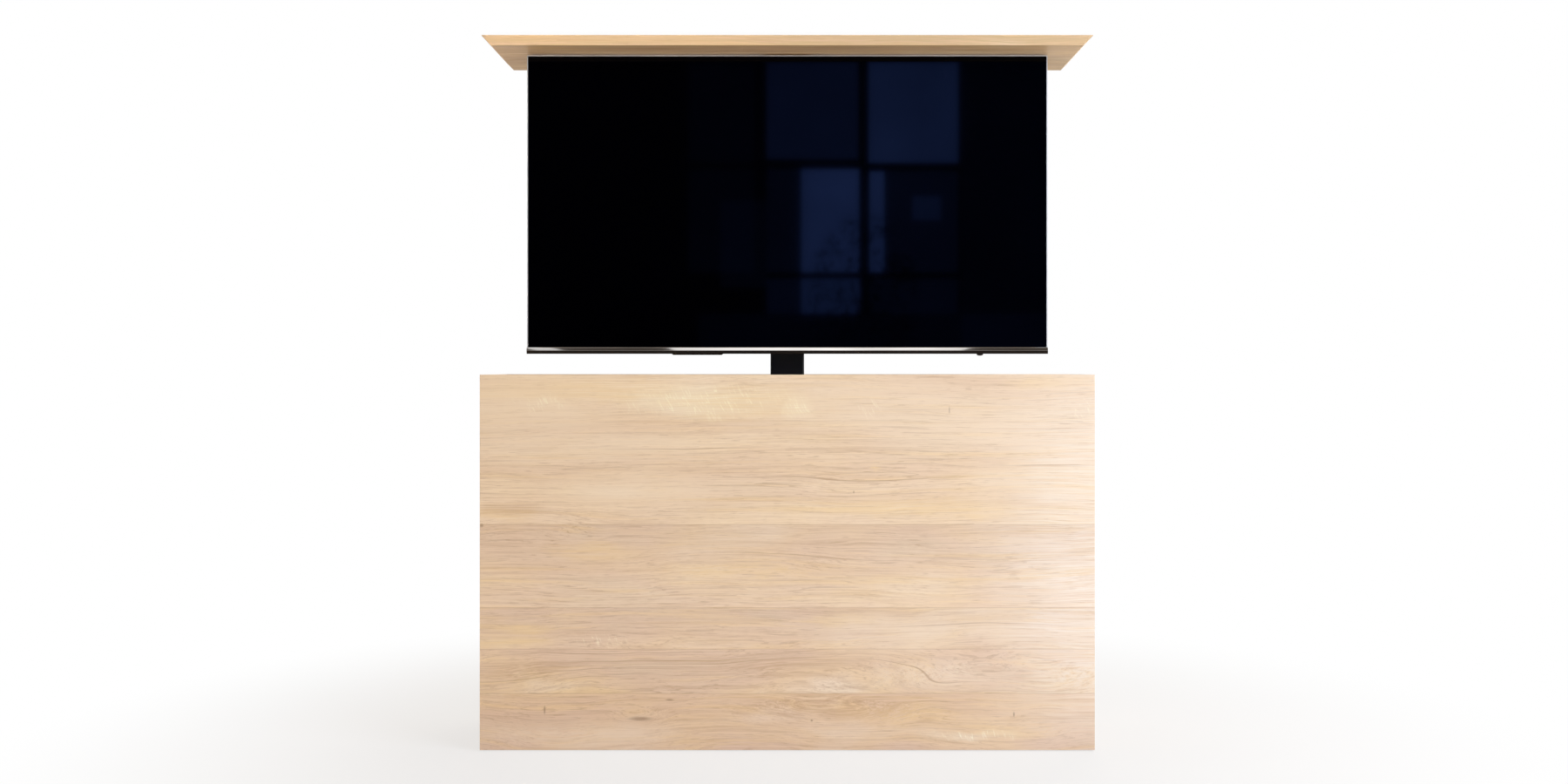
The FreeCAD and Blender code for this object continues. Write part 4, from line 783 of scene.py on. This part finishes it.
def makeGlides():
    discs, felts = bmesh.new(), bmesh.new()
    for low, high in looseBoxes("glide_feet"):
        foot = (low + high) / 2
        foot.z = 0
        spinProfile(discs, glideShape["disc"], foot, steps=40)
        spinProfile(felts, glideShape["felt"], foot, steps=40)
    finishPiece("glideDiscs", discs, "cabinet", acetal, ("glide_feet",))
    finishPiece("glideFelts", felts, "cabinet", woolFelt)


# Motor: a flanged drum with a ribbed middle, an end cap and four through-bolts
motorShape = {
    "place": (48, 86.5, 75), "ribs": 9, "ribPitch": 6, "firstRib": 22,
    "flange": ((0, 0), (21.6, 0), (21.9, 0.4), (21.9, 4.6), (21.5, 5), (19.4, 5), (19.4, 18)),
    "rib": ((19, -1.6), (19.9, -1), (19.9, 1), (19, 1.6)),
    "cap": (
        (19.4, 92), (19.8, 92.4), (19.8, 102.6), (19.2, 103.4), (17, 106.4), (16.7, 109.4),
        (16.2, 109.9), (7, 109.9), (6.6, 109.4), (0, 109.4)),
    "bolt": 2, "boltCircle": 13.4, "boltSpan": (156, 158), "boltEdge": 0.3,
}


def makeMotor():
    s = motorShape
    x, y, z = s["place"]
    bm = bmesh.new()
    ribs = []
    for index in range(s["ribs"]):
        rib = s["firstRib"] + index * s["ribPitch"]
        ribs += [(radius, rib + height) for radius, height in s["rib"]]
    spinProfile(bm, (*s["flange"], *ribs, *s["cap"]), point(x, y, z), right, 64)
    for turn in (45, 135, 225, 315):
        boltY = y + s["boltCircle"] * math.cos(math.radians(turn))
        boltZ = z + s["boltCircle"] * math.sin(math.radians(turn))
        verts = addHexagon(bm, s["bolt"], *(point(end, boltY, boltZ) for end in s["boltSpan"]))
        rims = [edge for edge in edgesOf(verts) if any(len(face.verts) > 4 for face in edge.link_faces)]
        softenEdges(bm, rims, s["boltEdge"])
    finishPiece("liftMotor", bm, "cabinet", motorPaint, ("motor",))


# Toothed pulleys of the cascade belt, with flanges
pulleyShape = {
    "y": 110.5, "zLow": 529, "zHigh": 1004, "pitchRadius": 10, "teeth": 12,
    "flange": ((3.1, 0), (11.6, 0), (11.9, 0.3), (11.9, 0.9), (11.6, 1.2), (3.1, 1.2), (3.1, 0)),
    "flangePlaces": (-7.5, 6.3),
    "drum": ((3.1, 1.2), (8, 1.2), (8, 13.8), (3.1, 13.8), (3.1, 1.2)),
    "tooth": ((-6.3, -1.2, 7.5), (6.3, 1.2, 8.7)), "toothEdge": 0.35,
}


def makePulley(name, body, node, z):
    s = pulleyShape
    bm = bmesh.new()
    for x in s["flangePlaces"]:
        spinProfile(bm, s["flange"], point(x, s["y"], z), right)
    spinProfile(bm, s["drum"], point(s["flangePlaces"][0], s["y"], z), right)
    low, high = s["tooth"]
    for index in range(s["teeth"]):
        turn = Matrix.Rotation(2 * math.pi * index / s["teeth"], 4, "X")
        before = set(bm.verts)
        addBlock(bm, point(*low), point(*high), s["toothEdge"])
        tooth = [vert for vert in bm.verts if vert not in before]
        bmesh.ops.transform(bm, matrix=Matrix.Translation(point(0, s["y"], z)) @ turn, verts=tooth)
    finishPiece(name, bm, body, acetal, (node,), 32)


# Cascade belt: a thin band with square teeth on its inner side, in one loop
beltShape = {
    "outer": 11.2, "band": 9.9, "tooth": 8.85, "halfWidth": 6, "pitch": 5,
    "shares": (0, 0.12, 0.5, 0.62),  # of each pitch, where a tooth starts, is full and ends
}


def makeBelt():
    s = beltShape
    p = pulleyShape
    run = p["zHigh"] - p["zLow"]
    arc = math.pi * p["pitchRadius"]
    teeth = round(2 * (run + arc) / s["pitch"])
    pitch = 2 * (run + arc) / teeth
    inner = (s["band"], s["tooth"], s["tooth"], s["band"])

    # the point at a distance along the loop and at a radius from the pulleys' centres
    def along(distance, radius):
        half, distance = divmod(distance, run + arc)
        side = -1 if half % 2 == 0 else 1
        if distance < run:
            y, z = radius, distance
        else:
            turn = (distance - run) / p["pitchRadius"]
            y, z = radius * math.cos(turn), run + radius * math.sin(turn)
        return point(-s["halfWidth"], p["y"] + side * y, p["zLow"] + z if side < 0 else p["zHigh"] - z)

    bm = bmesh.new()
    bmesh.ops.create_grid(bm, x_segments=teeth * 4, y_segments=1, size=1)
    for vert in bm.verts:
        index = round((vert.co.x + 1) / 2 * teeth * 4) % (teeth * 4)
        distance = (index // 4 + s["shares"][index % 4]) * pitch
        vert.co = along(distance, s["outer"] if vert.co.y > 0 else inner[index % 4])
    weld(bm, bm.verts[:])
    extrudeAcross(bm, bm.faces[:], 2 * s["halfWidth"])
    finishPiece("cascadeBelt", bm, "middle_stage", beltRubber, ("cascade_belt",), 40)


# Sockets in the recess of the television's rear: flat ones, a network one and a round aerial one
socketShape = {
    "trayY": -6, "firstX": -382, "z": 1080.5, "gap": 6, "rise": 3.4, "wall": (1.2, 1.1),
    "tongue": (3.2, 3.6), "sizes": ((15, 5.4), (15, 5.4), (15, 5.4), (13.2, 5.8), (16, 13)),
    "aerialX": -278,
    "aerial": (
        (0, 0), (6.5, 0), (6.5, 2), (4.6, 2.4), (4.6, 9), (4.2, 9.4), (2.4, 9.4), (2.4, 4),
        (0, 4)),
}


def makeSockets():
    s = socketShape
    shells, tongues = bmesh.new(), bmesh.new()
    x, y = s["firstX"], s["trayY"]
    wallX, wallZ = s["wall"]
    for width, height in s["sizes"]:
        low, high = s["z"] - height / 2, s["z"] + height / 2
        addBlock(shells, point(x, y - 0.2, low), point(x + width, y + s["rise"], high), 0.5)
        addBlock(
            tongues, point(x + wallX, y + s["tongue"][0], low + wallZ),
            point(x + width - wallX, y + s["tongue"][1], high - wallZ), 0.1)
        x += width + s["gap"]
    spinProfile(shells, s["aerial"], point(s["aerialX"], y, s["z"]), back, 32)
    finishPiece("socketShells", shells, "carriage", contactTin, (), 32)
    finishPiece("socketTongues", tongues, "carriage", chipEpoxy, (), 32)


# Strip under the screen: a plated upper facet that leans forward over a gloss black lower one, whose black
# is painted shade for the dark reflection that facet shows
stripShape = {
    "half": 617.5, "edge": 0.25,
    "plated": ((-55, 921), (-60.9, 921), (-61, 921.4), (-58.3, 928.1), (-57.2, 929.3), (-55, 929.3)),
    "black": ((-55, 913.5), (-58, 913.5), (-60.8, 921), (-55, 921)),
}


def makeStrip(name, outline, material, replaced=()):
    s = stripShape
    bm = bmesh.new()
    face = bm.faces.new([bm.verts.new(point(-s["half"], y, z)) for y, z in s[outline]])
    extrudeAcross(bm, [face], 2 * s["half"])
    softenEdges(bm, bm.edges, s["edge"])
    finishPiece(name, bm, "carriage", material, replaced, 10)


# Small screws round the television's rear shell, blackened and slightly sunk
coverScrewShape = {
    "y": -30,
    "profile": ((0, 0), (1, 0), (1.5, 0.9), (2.6, 0.8), (3.6, 0.2), (3.6, -0.6), (0, -0.6)),
    "places": (
        (-585, 1592), (-300, 1592), (-160, 1592), (160, 1592), (300, 1592), (585, 1592), (-585, 1270),
        (585, 1270), (-585, 945), (585, 945)),
}


def makeCoverScrews():
    s = coverScrewShape
    bm = bmesh.new()
    for x, z in s["places"]:
        spinProfile(bm, s["profile"], point(x, s["y"], z), back, 20)
    finishPiece("coverScrews", bm, "carriage", motorPaint, (), 32)


# Front of the lift's control box: plug sockets, a pairing button and a small lamp lens
controlShape = {
    "y": 71, "z": 60, "foot": 56, "wall": 1, "rise": (-1.2, 0.4),
    # each socket's left side, width and height
    "sockets": ((-318, 13, 9), (-300, 13, 9), (-282, 13, 9), (-222, 19, 13)),
    "contacts": ((2, -0.3, 1), (2, 0.4, 2)),
    "buttonX": -250, "button": ((0, 1.2), (3.2, 1.2), (3.6, 0.8), (3.6, -0.3), (0, -0.3)),
    "lensX": -238, "lens": ((0, 1.1), (0.9, 0.9), (1.5, 0.4), (1.6, -0.3), (0, -0.3)),
}


def makeControlFace():
    s = controlShape
    y, foot, wall = s["y"], s["foot"], s["wall"]
    near, far = s["rise"]
    (inset, contactNear, contactLow), (inset, contactFar, contactHigh) = s["contacts"]
    frames, lens = bmesh.new(), bmesh.new()
    for x, width, height in s["sockets"]:
        sides = (
            (0, -wall, width, 0), (0, height, width, height + wall),
            (-wall, -wall, 0, height + wall), (width, -wall, width + wall, height + wall))
        for lowX, lowZ, highX, highZ in sides:
            low, high = point(x + lowX, y + near, foot + lowZ), point(x + highX, y + far, foot + highZ)
            addBlock(frames, low, high, 0.2, 1)
        addBlock(
            frames, point(x + inset, y + contactNear, foot + contactLow),
            point(x + width - inset, y + contactFar, foot + contactHigh), 0.1, 1)
    spinProfile(frames, s["button"], point(s["buttonX"], y, s["z"]), front, 24)
    spinProfile(lens, s["lens"], point(s["lensX"], y, s["z"]), front, 20)
    finishPiece("controlFace", frames, "cabinet", chipEpoxy, (), 32)
    finishPiece("controlLens", lens, "cabinet", solderMask, (), 32)


makeStrip("platedStrip", "plated", darkChrome, ("tv_chin",))
# painted shade: the lower facet is gloss black to stand for the dark reflection a plated facet shows there
makeStrip("paintedShadeStrip", "black", glossAbs)
makeCoverScrews()
makeControlFace()
makeSpindle()
makePowerButton()
makeSmallScrews()
makeHexBolts()
makeGrommet()
makeGlides()
makeMotor()
makePulley("lowerPulley", "lower_roller", "lower_pulley", pulleyShape["zLow"])
makePulley("upperPulley", "upper_roller", "upper_pulley", pulleyShape["zHigh"])
makeBelt()
makeSockets()
print("fittings made")


# Studio: a pale floor, soft lamps and cards that only the gloss sees
studio = {
    "floor": ((-15, -15, 0), (15, 15, 0)),
    "floorColour": "E2E0DC", "floorFinish": {"Roughness": 0.9, "Specular IOR Level": 0.1},
    # how far from the middle the floor starts to glow, glows in full, and how strongly
    "floorGlow": (0.7, 1.9, 0.68, 1),
    "worldFill": 0.28, "fillColour": "FFEEDC",
    # place, target, size in metres, power, colour, spread in degrees, seen in reflections
    "lamps": {
        "keyLamp": ((2.7, -2.2, 1.9), (0.3, -0.17, 0.45), (2.4, 2.2), 123, "EAF0FF", 180, True),
        "fillLamp": ((-2.9, -3, 0.7), (-0.3, 0, 1.5), (1.6, 1), 44, "FFEBD4", 180, False),
        "lidLamp": ((-1.6, -3.2, 1.8), (-0.45, -0.17, 1.66), (0.5, 0.25), 1.3, "FFF0DC", 30, False),
        "topLamp": ((0, 0.9, 4.2), (0, 0.1, 1.2), (2.6, 1.4), 44, "FFF6EA", 180, True),
        "backLamp": ((1.5, 4, 2.2), (0, 0, 0.8), (3, 2), 52, "FFF6EA", 180, True),
    },
}


def makeCard(name, corners, material):
    (lowX, lowY, lowZ), (highX, highY, highZ) = corners
    outline = ((lowX, lowY, lowZ), (highX, lowY, lowZ), (highX, highY, highZ), (lowX, highY, highZ))
    bm = bmesh.new()
    bm.faces.new([bm.verts.new(corner) for corner in outline])
    card = meshObject(name, bm, material)
    return card


# 1 where the camera, a mirror or a glass sees a surface, 0 where the surface only gives light
def seenShare(add):
    rays = add("LightPath", out=None).outputs
    seen = add("Math MAXIMUM", (rays["Is Camera Ray"], rays["Is Glossy Ray"]))
    return add("Math MAXIMUM", (seen, rays["Is Transmission Ray"]))


def makeFloorMaterial():
    material, add, shader, place = newMaterial("pale studio floor")
    setInputs(shader, {"Base Color": linear(studio["floorColour"]), **studio["floorFinish"]})
    glow = add("Emission", {"Color": (1, 1, 1, 1), "Strength": 1})
    reach = add("VectorMath LENGTH", (place,), "Value")
    far = add("MapRange", (reach, *studio["floorGlow"]), interpolation_type="SMOOTHSTEP")
    share = add("Math MULTIPLY", (seenShare(add), far))
    showSurface(material, add("MixShader", (share, shader.outputs[0], glow)))
    return material


# the dark room behind the camera: dim panes of a window and plain shapes seen through it
roomShape = {
    "corners": ((-9, -7, 0.4), (9, -7, 3.8)), "sky": "6C93FF",
    # each as low and high x, low and high z and strength
    "panes": (
        (-0.14, 0.478, 2.299, 2.955, 0.27), (0.549, 1.155, 2.273, 2.955, 0.7),
        (-0.67, -0.22, 2.273, 2.955, 0.035), (-0.67, -0.22, 1.534, 2.231, 0.04),
        (-0.14, 0.095, 1.534, 2.231, 0.09), (0.095, 0.485, 1.534, 2.231, 1),
        (0.555, 0.655, 1.534, 2.215, 0.95), (0.655, 1.155, 1.534, 2.215, 0.12),
        (0.846, 1.037, 1.887, 2.049, 0.26), (-0.14, 0.095, 1.254, 1.49, 0.12),
        (0.095, 0.49, 1.254, 1.49, 0.7), (0.555, 1.155, 1.254, 1.49, 0.1), (-0.45, -0.14, 1.43, 2.02, 0.05),
        (-0.6, 1.76, 0.98, 1.254, 0.045), (1.18, 1.76, 0.98, 3, 0.035),
    ),
    "branches": (0.52, 1.36, 0.42, 0.62),
    "twigs": {"Scale": 7, "Detail": 3, "Distortion": 2},
    "twigWidth": 0.028,
    "twigShade": (0, 0.12, 1, 0.08),
    "clouds": (0.3, 0.7, 0.8, 1.15),
}


# a band's middle and half its width, as COMPARE takes them
def bandOf(low, high):
    return (low + high) / 2, (high - low) / 2


def makeRoomMaterial():
    s = roomShape
    material, add, shader, place = newMaterial("room behind the camera")
    split = add("SeparateXYZ", (place,), None).outputs
    total = 0
    for lowX, highX, lowZ, highZ, strength in s["panes"]:
        across = add("Math COMPARE", (split["X"], *bandOf(lowX, highX)))
        upward = add("Math COMPARE", (split["Z"], *bandOf(lowZ, highZ)))
        inside = add("Math MULTIPLY", (across, upward))
        total = add("Math MULTIPLY_ADD", (inside, strength, total))
    # bare branches stand before the sky, and clouds dim the panes
    twigs = add("TexNoise", {"Vector": place, **s["twigs"]})
    twigs = add("Math COMPARE", (twigs, 0.5, s["twigWidth"]))
    reach = ovalMark(add, place, s["branches"])
    dark = add("Math MULTIPLY", (twigs, reach))
    clouds = add("TexNoise", {"Vector": place, "Scale": 1.6, "Detail": 3})
    for pattern, span in ((dark, s["twigShade"]), (clouds, s["clouds"])):
        total = add("Math MULTIPLY", (total, add("MapRange", (pattern, *span))))
    showSurface(material, add("Emission", {"Color": linear(s["sky"]), "Strength": total}))
    return material


# the ceiling, with two lit panels that show in the plated strip
ceilingShape = {
    "corners": ((-1.25, -2.95, 3.2), (1.25, -1.85, 3.2)), "wall": "6E655D",
    # low and high x and share of each panel
    "panels": ((-1.11, -0.99, 1), (-0.502, 0.773, 2)),
    "strength": (0, 2, 0.9, 2.2),
}


def makeCeilingMaterial():
    s = ceilingShape
    material, add, shader, place = newMaterial("ceiling panels")
    across = add("SeparateXYZ", (place,), "X")
    panels = 0
    for low, high, share in s["panels"]:
        inside = add("Math COMPARE", (across, *bandOf(low, high)))
        panels = add("Math MULTIPLY_ADD", (inside, share, panels))
    colour = paintLayers(add, linear(s["wall"]), (((1, 1, 1, 1), panels),))
    strength = add("MapRange", (panels, *s["strength"]))
    showSurface(material, add("Emission", {"Color": colour, "Strength": strength}))
    return material


def onlyGloss(card):
    for rays in ("camera", "diffuse", "transmission", "shadow", "volume_scatter"):
        setattr(card, "visible_" + rays, False)


def makeLamp(name, place, target, size, power, colour, spread, mirrored):
    data = bpy.data.lights.new(name, "AREA")
    data.shape = "RECTANGLE"
    data.size, data.size_y = size
    data.energy = power
    data.spread = math.radians(spread)
    data.color = linear(colour)[:3]
    lamp = linkObject(name, data)
    lamp.location = place
    lamp.rotation_euler = (Vector(target) - Vector(place)).to_track_quat("-Z", "Y").to_euler()
    lamp.visible_glossy = mirrored


def makeWorld():
    world = bpy.data.worlds.new("pale room")
    scene.world = world
    world.use_nodes = True
    world.node_tree.nodes.clear()
    add = partial(addNode, world.node_tree)
    shown = add("Background", {"Color": (1, 1, 1, 1), "Strength": 1})
    light = add("Background", {"Color": linear(studio["fillColour"]), "Strength": studio["worldFill"]})
    mix = add("MixShader", (seenShare(add), light, shown))
    add("OutputWorld", {"Surface": mix}, None)


makeCard("floor", studio["floor"], makeFloorMaterial())
onlyGloss(makeCard("darkRoom", roomShape["corners"], makeRoomMaterial()))
onlyGloss(makeCard("ceiling", ceilingShape["corners"], makeCeilingMaterial()))
for name, settings in studio["lamps"].items():
    makeLamp(name, *settings)
makeWorld()

cameraShape = {
    "lens": 36.33, "sensor": 36, "place": (0, -3.8065, 0.8762), "shift": (-0.0021, -0.0143),
}
cameraData = bpy.data.cameras.new("camera")
cameraData.lens = cameraShape["lens"]
cameraData.sensor_width = cameraShape["sensor"]
cameraData.shift_x, cameraData.shift_y = cameraShape["shift"]
camera = linkObject("camera", cameraData)
camera.location = cameraShape["place"]
camera.rotation_euler = (quarter, 0, 0)
scene.camera = camera
scene.view_settings.view_transform = "Standard"
print("studio ready")
